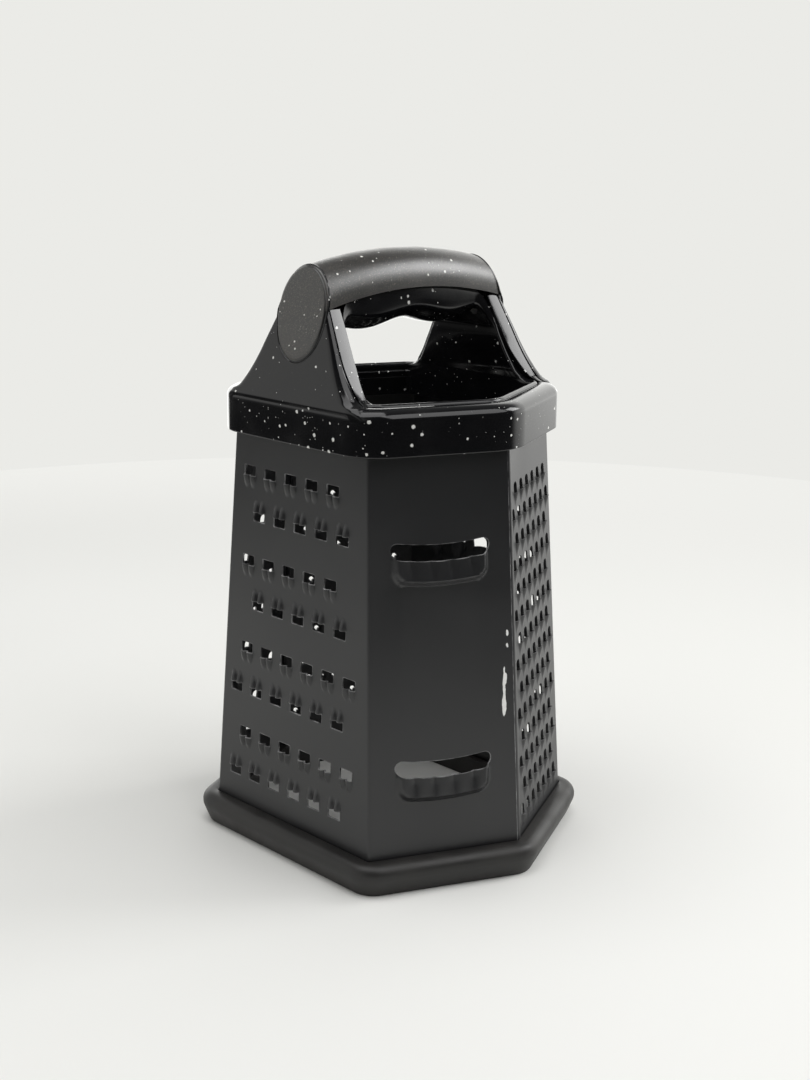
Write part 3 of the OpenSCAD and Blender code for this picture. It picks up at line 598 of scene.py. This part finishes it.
class Piercing:
    half, drop, rise, reach, diagonal = 0.65, 0.0, 0.9, 1.7, 1.414

    def outline(self):
        return [in_plan(a, self.half * (1 if a % 90 else self.diagonal)) for a in range(0, 360, 45)]

    def holds(self, x, t):
        return abs(x) + abs(t) < self.half * 1.38

    def lift(self, x, t):
        share = clamp((self.reach - math.hypot(x, t)) / (self.reach - self.half))
        torn = 1 + 0.25 * math.cos(4 * math.atan2(t, x) + math.pi)
        return self.rise * share ** 1.6 * torn

    def grid(self, step):
        """Two fixed circles round the hole. The step is not used."""
        return [in_plan(a, r) for r in (1.2, self.reach) for a in range(0, 360, 30)]


slicer_sites = [(sum(face_span(4, z)) / 2, z, -1) for z in (NECK_Z - 31.2, 34.7)]
print("slicer edges at", [z for _, z, _ in slicer_sites])

# %% [markdown]
# ## One half shell as one sheet
# A half shell is three faces joined by rolled bends of about one millimetre. At its ends it folds into the
# seam: the front half wraps a narrow band over the rear half, and the rear half tucks a flange behind the
# front. Each face is cut back to where its bend begins, the bends and folds are strips between the same two
# heights, and the whole skin is then given the sheet's thickness by a copy of its points further in. Points
# on a cutting edge and on the seam's bright line carry a rim value.

# %% Triangulating a face
BEND_R, FOLD_R, STRIP = 1.1, 1.6, 0.5
RIM_BAND = 0.22
RIM_SHINE = {5: 0.3}
SKIN_STEP = {0: 0.62, 1: 0.5, 2: 0.5, 3: 0.32, 4: 0.5, 5: 0.36}
punches = {0: (large_punch, large_sites), 1: (Piercing(), pierce_sites), 2: (medium_punch, medium_sites),
           3: (coarse_punch, coarse_sites), 4: (Slicer(), slicer_sites), 5: (fine_punch, fine_sites)}


def widened(outline, gap):
    """The points of a closed outline, each moved outwards by a gap."""
    moved = []
    for before, (x, t), after in zip(outline[-1:] + outline[:-1], outline, outline[1:] + outline[:1]):
        dx, dt = after[0] - before[0], after[1] - before[1]
        size = math.hypot(dx, dt)
        moved.append((x + gap * dt / size, t - gap * dx / size))
    return moved


def press_face(k, start_bend, end_bend):
    """Points in u, v, n and triangles of one face, with a rim value for each point."""
    punch, sites = punches[k]
    low, top = (slope_v(k, z) for z in SHEET_ENDS)
    left = [along(k, bend_centre((k + 5) % 6, z, *start_bend)) for z in SHEET_ENDS]
    far = [along(k, bend_centre(k, z, *end_bend)) for z in SHEET_ENDS]
    flat = [(left[0], low), (left[0] + STRIP, low), (far[0] - STRIP, low), (far[0], low),
            (far[1], top), (far[1] - STRIP, top), (left[1] + STRIP, top), (left[1], top)]
    edges = [(i, (i + 1) % 8) for i in range(8)] + [(1, 6), (2, 5)]
    origins = [(u, slope_v(k, z) + side * punch.drop, side) for u, z, side in sites]
    cut = punch.outline()
    rim_start = len(flat)
    for u, v, side in origins:
        first = len(flat)
        flat += [(u + x, v + side * t) for x, t in cut]
        edges += [(first + i, first + (i + 1) % len(cut)) for i in range(len(cut))]
    rim_ids = range(rim_start, len(flat))
    near = np.array(cut)
    around = widened(cut, RIM_BAND)
    for x, t in punch.grid(SKIN_STEP[k]):
        if not punch.holds(x, t) and np.hypot(near[:, 0] - x, near[:, 1] - t).min() > 1.5 * RIM_BAND:
            around.append((x, t))
    flat += [(u + x, v + side * t) for u, v, side in origins for x, t in around]
    points, _, triangles, source, _, _ = delaunay_2d_cdt([Vector(p) for p in flat], edges, [], 1, 1e-5)
    centres = np.array([origin[:2] for origin in origins])

    def own_places(x, y, count):
        """The point as seen from the nearest holes, each in its own x and t."""
        order = np.argsort(np.hypot(centres[:, 0] - x, centres[:, 1] - y))[:count]
        return [(x - origins[i][0], origins[i][2] * (y - origins[i][1])) for i in order]

    placed = [(p.x, p.y, max(0.0, *(punch.lift(*q) for q in own_places(p.x, p.y, 2)))) for p in points]
    rims = [RIM_SHINE.get(k, 1.0) if any(i in rim_ids for i in ids) else 0.0 for ids in source]
    keep = []
    for tri in triangles:
        middle = sum(points[i].x for i in tri) / 3, sum(points[i].y for i in tri) / 3
        if not punch.holds(*own_places(*middle, 1)[0]):
            keep.append(tuple(tri))
    return placed, keep, rims


print("faces to press:", len(punches))


# %% Bends and folds
def bend_rows(k, bend, steps, bias=1.0):
    """Rows of outer and inner points round the bend between face k and the next."""
    n, rows = (k + 1) % 6, []
    turn = (FACE_AZ[n] - FACE_AZ[k]) % 360
    for i in range(steps + 1):
        share = (i / steps) ** bias
        sink = SHEET_T * math.sin(lean(k) * (1 - share) + lean(n) * share)
        outer, inner = (in_plan(FACE_AZ[k] + turn * share, bend[0] - depth) for depth in (0.0, SHEET_T))
        row = []
        for z in SHEET_ENDS:
            x, y = bend_centre(k, z, *bend)
            row.append(((x + outer[0], y + outer[1], z), (x + inner[0], y + inner[1], z - sink)))
        rows.append(row)
    return rows


def fold_rows(k, bend_k, bend, sign, out, width):
    """Two rows at the end of a fold that lies on face k, the outermost turned in by a small lip."""
    rows = []
    for reach, lip in ((width - 0.25, 0.0), (width, 0.12)):
        row = []
        for z in SHEET_ENDS:
            u = along(k, bend_centre(bend_k, z, *bend)) + sign * reach
            dist = face_dist(k, z) + out
            row.append(tuple((*in_plan(FACE_AZ[k], dist - inset, u), z) for inset in (lip, SHEET_T)))
        rows.append(row)
    return rows


def half_shell(faces, out, width):
    """Outer points, inner points, outer faces and rim values of a sheet with folds at both ends."""
    outer, inner, skin_faces, rims = [], [], [], []

    def add_strip(rows, shine=()):
        first = len(outer)
        for i, row in enumerate(rows):
            outer.extend(p for p, _ in row)
            inner.extend(q for _, q in row)
            rims.extend([1.0 if i in shine else 0.0] * 2)
        skin_faces.extend((a, a + 2, a + 3, a + 1) for a in range(first, len(outer) - 2, 2))

    before, after = (faces[0] + 5) % 6, (faces[-1] + 1) % 6
    bends = [(FOLD_R, out, 0.0), (BEND_R, 0.0, 0.0), (BEND_R, 0.0, 0.0), (FOLD_R, 0.0, out)]
    for position, k in enumerate(faces):
        placed, triangles, rim_values = press_face(k, *bends[position:position + 2])
        shift = len(outer)
        outer += [on_face(k, u, v, n) for u, v, n in placed]
        inner += [on_face(k, u, v, n - SHEET_T) for u, v, n in placed]
        rims += rim_values
        skin_faces += [tuple(shift + i for i in tri) for tri in triangles]
        if position < 2:
            add_strip(bend_rows(k, bends[position + 1], 6))
    end_rows = bend_rows(faces[-1], bends[3], 9, 1.6) + fold_rows(after, faces[-1], bends[3], 1, out, width)
    add_strip(end_rows, (1, 2, len(end_rows) - 1) if out > 0 else ())
    add_strip(fold_rows(before, before, bends[0], -1, out, width)[::-1] + bend_rows(before, bends[0], 5))
    return outer, inner, skin_faces, rims


def thicken(outer, inner, faces, rims):
    """Joins points that coincide, then adds the inner skin and the rims between the two."""
    keys, index, kept = {}, [], []
    for row in zip(outer, inner, rims):
        key = tuple(round(c, 3) for c in row[0])
        if key not in keys:
            keys[key] = len(kept)
            kept.append(row)
        index.append(keys[key])
    points, points_in, values = (list(column) for column in zip(*kept))
    top = [tuple(index[i] for i in f) for f in faces]
    top = [f for f in top if len(set(f)) == len(f)]
    size = len(points)
    border = {pair: None for f in top for pair in zip(f, f[1:] + f[:1])}
    sides = [(a + size, b + size, b, a) for a, b in border if (b, a) not in border]
    under = [tuple(i + size for i in reversed(f)) for f in top]
    return (points + points_in, top + under + sides), values + values


for node, faces, out, width in (("front_shell", (2, 3, 4), 0.5, 0.9), ("rear_shell", (5, 0, 1), -0.5, 1.6)):
    skin, values = thicken(*half_shell(faces, out, width))
    make_piece(node + "_sheet", skin, sheet_material, node, values)

# %% [markdown]
# ## Rings round the body
# The base ring and the collar are mouldings that follow a rounded hexagon. A curve with a bevel would round
# all corners alike, so each ring is a skin over many closed loops. A loop is given by the distances of its
# six sides, the radii of its corners and its height, and the loops run once round the ring's section.


# %% Rounded hexagons
def corner_arc(azimuths, dists, radii, k):
    """Centre and turn of the rounded corner between side k and the next."""
    n = (k + 1) % 6
    return (meet(azimuths[k], dists[k] - radii[k], azimuths[n], dists[n] - radii[k]),
            (azimuths[n] - azimuths[k]) % 360)


def hexagon(azimuths, dists, radii, z, steps):
    points = []
    for k in range(6):
        centre, turn = corner_arc(azimuths, dists, radii, k)
        points += arc_points(centre, radii[k], azimuths[k], azimuths[k] + turn, steps)
    return [(x, y, z) for x, y in points]


RING_FOOT, RING_BULGE, RING_ROUND, RING_CORNER, INNER_CORNER = 2.0, 3.4, 3.2, 6.0, 0.9
ring_section = [(0.0, 0.0), (0.75, 0.0), (1.0, 0.12), (1.2, 0.42), (2.2, 2.8), (3.2, 5.4), (3.36, 6.2)]
ring_section += arc_points((RING_BULGE - RING_ROUND, RING_H - RING_ROUND), RING_ROUND, 6, 90, 9)
ring_groove = [(0.55, RING_H), (0.3, RING_H - 0.1), (0.15, RING_H - 0.4), (0.15, 2.2), (-0.65, 2.2),
               (-0.65, 7.3), (-0.85, 7.5), (-2.6, 7.5), (-2.85, 7.3), (-2.85, 0.2), (-2.65, 0.0)]
ring_foot = [face_dist(k, 0) + RING_FOOT for k in range(6)]
ring_loops = [hexagon(FACE_AZ, [d + x for d in ring_foot], [RING_CORNER + x + INNER_CORNER] * 6, z, 8)
              for x, z in ring_section]
ring_loops += [hexagon(FACE_AZ, [face_dist(k, z) + out / math.cos(lean(k)) for k in range(6)],
                       [INNER_CORNER] * 6, z, 8) for out, z in ring_groove]
ring = ([], [])
add_skin(ring, ring_loops, closed=True)
make_piece("base_ring_rubber", ring, rubber_material, "base_ring")

# %% [markdown]
# ## Collar and posts
# The collar's skirt drops over the sheet, turns through a rounded shoulder and ends at the top opening. Each
# post grows out of it: its outer face leans inwards from a crease just above the skirt, and seen along the
# handle its sides flare out towards the deck. A post is a stack of rounded rectangles, because its width,
# its place and its edge radius all change with the height. Its section has a bead at the outer edge, a
# groove and the inner strip, and a low lip rings the place of the oval pad.

# %% Collar
SKIRT_DEPTH, SKIRT_WIDTH = NECK_DEPTH + 8.9, NECK_WIDTH + 5.9
SHOULDER_W, SHOULDER_H, DECK_T, DECK_W, SKIRT_WALL = 4.7, 3.0, 1.8, 6.2, 1.6
skirt_mid = (SKIRT_WIDTH / 2 * math.cos(math.radians(SKIRT_TURN))
             + SKIRT_DEPTH / 2 * math.sin(math.radians(SKIRT_TURN)))
skirt_dists = [SKIRT_DEPTH / 2, skirt_mid, skirt_mid] * 2
skirt_radii = [14, 18, 14] * 2


def skirt_loops(section, steps):
    """A loop for each place of a section, given as an inset from the skirt and a height."""
    return [hexagon(SKIRT_AZ, [d - inset for d in skirt_dists], [r - inset for r in skirt_radii], z, steps)
            for inset, z in section]


collar_section = [(x, NECK_Z + rise) for x, rise in (
    (SKIRT_WALL, 0.3), (SKIRT_WALL - 0.3, 0), (0.35, 0), (0.1, 0.1), (0.0, 0.3), (0.0, 0.45), (0.0, 5))]
collar_section += [(0.0, DECK_Z - SHOULDER_H - 0.6)]
collar_section += [(SHOULDER_W * (1 - x), DECK_Z - SHOULDER_H * (1 - z))
                   for x, z in arc_points((0, 0), 1, 0, 90, 16)]
collar_section += [(x, DECK_Z - drop) for x, drop in (
    (DECK_W - 0.9, 0), (DECK_W - 0.2, 0.08), (DECK_W, 0.3), (DECK_W, DECK_T), (SKIRT_WALL + 0.6, DECK_T),
    (SKIRT_WALL, DECK_T + 0.6))]
collar = ([], [])
add_skin(collar, skirt_loops(collar_section, 16), closed=True)
print("collar:", len(collar_section), "loops")

# %% Post shapes
POST_LEAN, CREASE_DROP, HANDLE_RISE, ARCH_R, GRIP_W, GRIP_H = 12.4, 1.6, 42.1, 161.4, 21.0, 11.4
FOOT_W, WAIST_W, WAIST_Z, HEAD_W, FLARE_R = 54.0, 32.8, 14.0, 20.2, 47.0
FILLET, FILLET_H, HEAD_OVER = 1.6, 1.8, 1.5
ARCH_Z, ARCH_LOW = DECK_Z + HANDLE_RISE - ARCH_R, ARCH_R - GRIP_H
PAD_Z, PAD_W, PAD_H, PAD_TOP, PAD_STEPS, LIP_SINK = 24.8, 20.4, 28.4, 26.4, 96, 0.6
PAD_LIP = [(0.85, -0.3), (0.80, 0.02), (0.62, 0.15), (0.42, 0.17), (0.28, 0.06), (0.25, -0.3)]
POST_IN = ((0, 2, 9.5, 17, 22, 27), (37.2, 35.3, 33.25, 32.5, 31.95, 31.6))
EDGE_R = ((-3, 0, 2, 5, 10, 16, 26), (4.2, 4.0, 3.7, 3.2, 2.5, 1.9, 1.2))
GROOVE_W = ((-1, 1, 4, 9, 26), (1.0, 0.9, 0.7, 0.6, 0.45))
GROOVE_D, PROUD_FOOT, INNER_R = 0.9, 0.03, 0.3
tilt = math.radians(POST_LEAN)


def at_rise(table, z):
    """Value at a height, read from a table of heights above the deck and values."""
    return float(np.interp(z - DECK_Z, *table))


def post_face(z):
    return SKIRT_DEPTH / 2 - (z - DECK_Z + CREASE_DROP) * math.tan(tilt)


HEAD_Z = ARCH_Z + math.sqrt(ARCH_LOW ** 2 - post_face(DECK_Z + PAD_Z) ** 2)
waist, foot = Vector((WAIST_W / 2, WAIST_Z)), Vector((FOOT_W / 2, 0))
chord = (foot - waist).length
flare = (waist + foot) / 2 + (Vector((waist.y - foot.y, foot.x - waist.x)) / chord
                              * math.sqrt(FLARE_R ** 2 - chord ** 2 / 4))


def post_half_width(z):
    """Half width of a post, with the flare and a small fillet where it meets the deck."""
    rise = z - DECK_Z
    if rise >= WAIST_Z:
        share = (rise - WAIST_Z) / (HEAD_Z - DECK_Z - WAIST_Z)
        return WAIST_W / 2 + (HEAD_W - WAIST_W) / 2 * min(share, 1.15)
    if rise >= 0:
        fillet = FILLET * max(0.0, 1 - rise / FILLET_H) ** 2.5
        return flare.x - math.sqrt(FLARE_R ** 2 - (rise - flare.y) ** 2) + fillet
    return FOOT_W / 2 + FILLET + min(-rise, SHOULDER_H)


def sink_below(z):
    """Draws the foot of a post slowly back into the skirt, so that no edge shows where it ends."""
    return max(DECK_Z - SHOULDER_H - 0.4 - z, 0) * 0.06


def post_section(z, outer):
    """Half of a post's section, from its outer face round the edge and the groove to its inner face."""
    inner, half = at_rise(POST_IN, z), post_half_width(z)
    edge, wide = at_rise(EDGE_R, z), at_rise(GROOVE_W, z)
    start = outer - edge - 0.1
    side = [(outer, half - edge - 0.5)] + arc_points((outer - edge, half - edge), edge, 0, 90, 10)
    side += [(start, half), (start - 0.12, half - 0.2), (start - 0.16, half - GROOVE_D),
             (start - wide + 0.1, half - GROOVE_D), (start - wide, half - 0.12), (start - wide - 0.12, half)]
    return side + arc_points((inner + INNER_R, half - INNER_R), INNER_R, 90, 180, 4)


def trim_to_skirt(point):
    """Pulls a low point of a post back inside the skirt's outline."""
    x, y, z = point
    for k in range(6):
        centre, turn = corner_arc(SKIRT_AZ, skirt_dists, skirt_radii, k)
        dx, dy = x - centre[0], y - centre[1]
        az = (math.degrees(math.atan2(dy, dx)) - SKIRT_AZ[k]) % 360
        reach, limit = math.hypot(dx, dy), skirt_radii[k] + PROUD_FOOT - sink_below(z)
        if az < turn and reach > limit:
            return (centre[0] + dx / reach * limit, centre[1] + dy / reach * limit, z)
    return point


def post_loops(side):
    levels = [DECK_Z - drop for drop in (6.5, 5.4, 4.6, 3.8, 3.2, 2.6, 2.1, 1.8, 1.6, 1.4, 1.1, 0.8, 0.4)]
    levels += [DECK_Z + 0.15 * i for i in range(12)] + [DECK_Z + 1.8 + 0.9 * i for i in range(28)]
    loops = []
    for z in levels:
        if z <= HEAD_Z + HEAD_OVER:
            half = post_section(z, min(post_face(z), SKIRT_DEPTH / 2 + PROUD_FOOT) - sink_below(z))
            loop = half + [(x, -y) for x, y in reversed(half)]
            loops.append([trim_to_skirt((side * x, side * y, z)) for x, y in loop])
    return loops


def pad_loop(side, inset, n, sink=0.0):
    """An oval on a post's outer face, n proud of it. sink lowers its upper part out of the cover's way."""
    loop, middle_z = [], DECK_Z + PAD_Z
    for i in range(PAD_STEPS):
        a = 2 * math.pi * i / PAD_STEPS
        tall = (PAD_TOP if math.sin(a) > 0 else PAD_H) / 2 - inset
        x, y = (PAD_W / 2 - inset) * math.cos(a), tall / math.cos(tilt) * math.sin(a)
        proud = n - sink * clamp(y / 3)
        out = post_face(middle_z) - y * math.sin(tilt) + proud * math.cos(tilt)
        loop.append((side * out, x, middle_z + y * math.cos(tilt) + proud * math.sin(tilt)))
    return loop


# %% Posts and pad lips on the collar
for side in (1, -1):
    add_skin(collar, post_loops(side))
    add_skin(collar, [pad_loop(side, -out, n, LIP_SINK) for out, n in PAD_LIP], closed=True)
make_piece("collar_and_posts", collar, gloss_material, "top_frame")

# %% [markdown]
# ## Liner
# The liner is the inner moulding: a bead round the top opening, an upright strip inside each post and the
# underside of the bar with its finger waves. The bead is a ring like the collar. The strips and the
# underside are one arch, skinned over sections that run up one post, along the bar and down the other.

# %% Arch of the liner
WAVE_H, WAVE_L = 1.25, 32.0
UNDER_Z, TURN_DROP, TURN_L, BEAD_W, BEAD_H = HANDLE_RISE - 22.6, 3.0, 2.6, 2.2, 0.6
STRIP_ROUND, BAR_HALF, BAR_DRAW, BELLY = 0.9, 9.4, 0.6, 0.66
LINER_LOW = DECK_Z - 10
LINER_IN = ((1, 3.5, 8.5, 14, 19), (33.2, 32.6, 32.0, 31.6, 31.5))
LINER_HALF = ((-0.3, 0.1, 0.5, 1.2, 3, 8.5, 14, 19.5, 26),
              (28.0, 26.2, 24.8, 23.4, 21.2, 17.9, 15.0, 12.5, 9.6))
MOUTH_X = LINER_IN[1][-1]


def arch_sections():
    """Place of each section and its share of bar, from the foot at -X over the bar to +X."""
    turn_z = DECK_Z + UNDER_Z - TURN_DROP
    heights = [LINER_LOW, DECK_Z - 3, DECK_Z - 0.6] + [DECK_Z + 0.2 * i - 0.3 for i in range(12)]
    heights += [DECK_Z + 2.6 + (turn_z - DECK_Z - 2.6) * i / 16 for i in range(17)]
    inner = [(-at_rise(LINER_IN, z), z, 0.0) for z in heights]
    half = MOUTH_X - TURN_L
    wave = [(x, DECK_Z + UNDER_Z + WAVE_H * math.cos(2 * math.pi * x / WAVE_L), 1.0)
            for x in (-half + half * i / 32 for i in range(2, 33))]
    low_end, high_end = Vector(inner[-1][:2]), Vector(wave[0][:2])
    corner = Vector((-MOUTH_X, turn_z + 1.2))
    for s in (i / 8 for i in range(1, 8)):
        inner.append((*(low_end * (1 - s) ** 2 + corner * 2 * s * (1 - s) + high_end * s ** 2), eased(s)))
    inner += wave
    return inner + [(-x, z, bar) for x, z, bar in reversed(inner[:-1])]


def liner_outer(x, z, bar):
    """Hidden outer boundary of the liner opposite an inner point: the post below, the cover above."""
    side = 1 if x > 0 else -1
    post = Vector((side * (at_rise(POST_IN, z) - 0.1), z))
    top_x = x if bar == 1 else side * (abs(x) + 0.2 * (1 - bar))
    cover = Vector((top_x, ARCH_Z + math.sqrt((ARCH_LOW - 0.1) ** 2 - top_x ** 2)))
    return post * (1 - bar) + cover * bar


def post_profile(half, span):
    """Half of the section inside a post, as places across and depths behind the inner face."""
    flat = [(half * s, 0.0) for s in (0, 0.4, 0.75)]
    edge = [(half - STRIP_ROUND + STRIP_ROUND * math.sin(a), STRIP_ROUND - STRIP_ROUND * math.cos(a))
            for a in (math.pi * i / 14 for i in range(8))]
    rest = [(half, STRIP_ROUND + (span - STRIP_ROUND - 0.2) * s) for s in (0.25, 0.5, 0.75, 1)]
    return flat + edge + rest + [(half - 0.2, span)]


def bar_profile(half, span):
    """Half of the bar's section: a bulge that turns under, and draws in again below the cover."""
    belly = span * BELLY
    under = [(half * math.sin(a) ** 0.9, belly * (1 - math.cos(a) ** 0.9))
             for a in (math.pi / 2 * i / 10 for i in range(10))]
    rest = [(half - BAR_DRAW * s * s, belly + (span - belly) * s) for s in (0, 0.35, 0.65, 0.85, 1)]
    return under + rest + [(half - BAR_DRAW - 0.3, span)]


def arch_loop(x, z, bar):
    outer = liner_outer(x, z, bar)
    low, high = Vector((x, 0, z)), Vector((outer.x, 0, outer.y))
    span, way = (high - low).length, (high - low).normalized()
    half = at_rise(LINER_HALF, z) * (1 - bar) + BAR_HALF * bar
    section = [(a[0] * (1 - bar) + b[0] * bar, a[1] * (1 - bar) + b[1] * bar)
               for a, b in zip(post_profile(half, span), bar_profile(half, span))]
    both = section + [(-y, depth) for y, depth in reversed(section[1:])]
    return [tuple(low + way * depth + Vector((0, y, 0))) for y, depth in both]


# %% Liner
bead_r = BEAD_W / 2
liner_section = [(0.0, LINER_LOW), (0.0, DECK_Z - 1.2)]
liner_section += [(-x, z) for x, z in arc_points((-bead_r, DECK_Z + BEAD_H - bead_r), bead_r, 0, 180, 12)]
liner_section += [(BEAD_W + x, DECK_Z - drop) for x, drop in (
    (0.0, 2.1), (0.1, 2.2), (0.85, 2.2), (1.0, 2.35), (1.0, 4.2), (1.4, 4.3), (1.4, DECK_Z - LINER_LOW))]
liner = ([], [])
add_skin(liner, skirt_loops([(DECK_W + 0.2 + x, z) for x, z in liner_section], 14), closed=True)
add_skin(liner, [arch_loop(*section) for section in arch_sections()])
make_piece("liner", liner, gloss_material, "handle_liner")

# %% [markdown]
# ## Grip cover
# The cover is half an oval in section, bent along the bar's arch, and it ends in an oval pad on the outside
# of each post. Its lines run lengthwise from one leaning end plane to the other, so both ends come out flat,
# and the last few sections are drawn in to round the end. Each pad is a low dome, and shade is painted near
# black into the crease round it.

# %% Grip cover
PROUD, COVER_WALL, COVER_STEPS, COVER_LENGTHS, COVER_END = 0.45, 1.7, 28, 40, 0.97
END_ROUND = [(1.0, 0.55), (0.9985, 0.25), (0.995, 0.08), (0.988, 0.0)]
# The third number of each pad ring is how much painted shade darkens it, as the crease round the pad.
PAD_RINGS = [(0.0, -1.1, 1), (0.0, 0.0, 1), (0.10, PROUD * 0.5, 1), (0.24, PROUD * 0.8, 0.7),
             (0.48, PROUD * 0.97, 0), (0.9, PROUD, 0), (4.0, PROUD, 0), (9.0, PROUD, 0)]


def end_angle(radius):
    """Angle along the arch at which a line at this radius meets the leaning end plane."""
    low, high = 0.0, 0.5
    for _ in range(40):
        mid = (low + high) / 2
        x, z = radius * math.sin(mid), ARCH_Z + radius * math.cos(mid)
        low, high = (mid, high) if x < post_face(z) + 0.05 else (low, mid)
    return low


def cover_loop(share, inset):
    """A section of the cover: out over its top and back along its inside."""
    loop = []
    for wall in (0.0, COVER_WALL):
        for i in range(COVER_STEPS + 1):
            a = math.pi * (1 - i / COVER_STEPS if wall else i / COVER_STEPS)
            radius = ARCH_LOW + (GRIP_H - wall - inset) * math.sin(a)
            theta = end_angle(radius) * share
            loop.append((radius * math.sin(theta), (GRIP_W / 2 - wall - inset) * math.cos(a),
                         ARCH_Z + radius * math.cos(theta)))
    return loop


stations = [(-s, r) for s, r in END_ROUND]
stations += [(COVER_END * (2 * i / COVER_LENGTHS - 1), 0.0) for i in range(COVER_LENGTHS + 1)]
stations += [(s, r) for s, r in reversed(END_ROUND)]
cover = ([], [])
add_skin(cover, [cover_loop(*station) for station in stations], capped=False)
size = 2 * (COVER_STEPS + 1)
for first in (0, len(cover[0]) - size):
    cover[1].extend((first + i, first + i + 1, first + size - 2 - i, first + size - 1 - i)
                    for i in range(COVER_STEPS))
painted_shade_values = [0.0] * len(cover[0])
for side in (1, -1):
    add_skin(cover, [pad_loop(side, inset, n) for inset, n, _ in PAD_RINGS])
    painted_shade_values += [crease for *_, crease in PAD_RINGS for _ in range(PAD_STEPS)]
make_piece("grip_cover_skin", cover, cover_material, "grip_cover", painted_shade_values)

# %% [markdown]
# ## Floor, lamps and surroundings
# The grater stands on a plain pale floor that fades into the background. Dark glossy things are drawn by
# what they reflect, so the three lamps are large and soft, and the walls are a soft function of direction:
# bright to the right of the camera, dimmer behind the object, with a narrow window far behind it. Away from
# the object the floor is clear to all but camera rays, as a table ends there. The background is near white
# only for rays from the camera, which adds no light to the object.

# %% Floor
FLOOR_R, FLOOR_SIDES = 0.60, 96
FADE_R, FADE_END, FADE_MIDDLE = 0.30, 0.55, (-0.07, 0.08, 0)
LIT_R, LIT_END = 0.38, 0.46
BACKDROP, BLACK = (0.83, 0.83, 0.80, 1), (0, 0, 0, 1)
FLOOR_DIM, FLOOR_PALE = (0.80, 0.80, 0.775, 1), (0.83, 0.83, 0.81, 1)


def seen_by_camera(tree):
    return add_node(tree, "ShaderNodeLightPath").outputs["Is Camera Ray"]


floor_material, tree = new_material("pale_floor")
offset = vector_node(tree, "SUBTRACT", object_place(tree), FADE_MIDDLE)[0]
reach = vector_node(tree, "LENGTH", offset)["Value"]
seen = seen_by_camera(tree)
hidden = product(tree, ramp(tree, reach, FADE_R, FADE_END), seen)
pale = layered(tree, FLOOR_DIM, (use_group(tree, smudge, Scale=2.0), FLOOR_PALE))
fill_shader(floor_material, {"Base Color": layered(tree, pale, (hidden, BLACK)), "Roughness": 0.8,
            "Emission Color": layered(tree, BLACK, (hidden, BACKDROP)), "Emission Strength": 1.0,
            "Alpha": math_node(tree, "MAXIMUM", seen, ramp(tree, reach, LIT_R, LIT_END, 1, 0)),
            "Specular IOR Level": 0.1})
floor_mesh = bpy.data.meshes.new("floor")
floor_points = [(FLOOR_R * math.cos(a), FLOOR_R * math.sin(a), 0.0)
                for a in (2 * math.pi * i / FLOOR_SIDES for i in range(FLOOR_SIDES))]
floor_mesh.from_pydata(floor_points, [], [tuple(range(FLOOR_SIDES))])
floor_mesh.materials.append(floor_material)
new_object("floor", floor_mesh)

# %% Lamps
LAMPS = {"key_light": ((0.24, -0.90, 1.22), (0, 0, 0.12), 1.10, 8.5),
         "window_light": ((1.09, -0.58, 0.95), (0, 0, 0.15), 0.60, 7),
         "top_light": ((-0.30, 0.12, 1.32), (-0.1, 0, 0), 1.10, 9)}
for name, (position, target, side, power) in LAMPS.items():
    data = bpy.data.lights.new(name, "AREA")
    data.shape = "RECTANGLE"
    data.size = data.size_y = side
    data.energy = power
    lamp = new_object(name, data)
    lamp.location = position
    lamp.rotation_euler = (Vector(target) - Vector(position)).to_track_quat("-Z", "Y").to_euler()
print("lamps:", list(LAMPS))

# %% World
WALL_LIGHT, BRIGHTEST = 0.04, 2.0
ROOM = (1.2 * BRIGHTEST, 1.2 * BRIGHTEST, 1.17 * BRIGHTEST, 1)
world = bpy.data.worlds.new("studio")
bpy.context.scene.world = world
world.use_nodes = True
tree = world.node_tree
heading = add_node(tree, "ShaderNodeTexCoord").outputs["Generated"]
east, north, height = add_node(tree, "ShaderNodeSeparateXYZ", {"Vector": heading}).outputs
sideways = math_node(tree, "ADD", east, product(tree, north, 0.2))
behind = math_node(tree, "ADD", product(tree, east, 0.5), product(tree, north, 0.87))
bright_side = product(tree, ramp(tree, sideways, 0.54, 0.76), ramp(tree, height, -0.24, -0.10, 0.6, 1.45))
back_wall = product(tree, ramp(tree, height, -0.20, 0.1, 0, 0.65), ramp(tree, north, -0.6, 0.3))
far_window = product(tree, ramp(tree, height, -0.42, -0.25, 0, 2.0), ramp(tree, behind, 0.88, 0.95))
brightest = math_node(tree, "MAXIMUM", bright_side, math_node(tree, "MAXIMUM", back_wall, far_window))
walls = product(tree, brightest, ramp(tree, height, 0.45, 0.65, 1.0, 0.12))
share = math_node(tree, "DIVIDE", math_node(tree, "ADD", walls, WALL_LIGHT), BRIGHTEST)
room = layered(tree, BLACK, (share, ROOM))
fill_shader(world, {"Color": layered(tree, room, (seen_by_camera(tree), BACKDROP)), "Strength": 1.0},
            "Background")
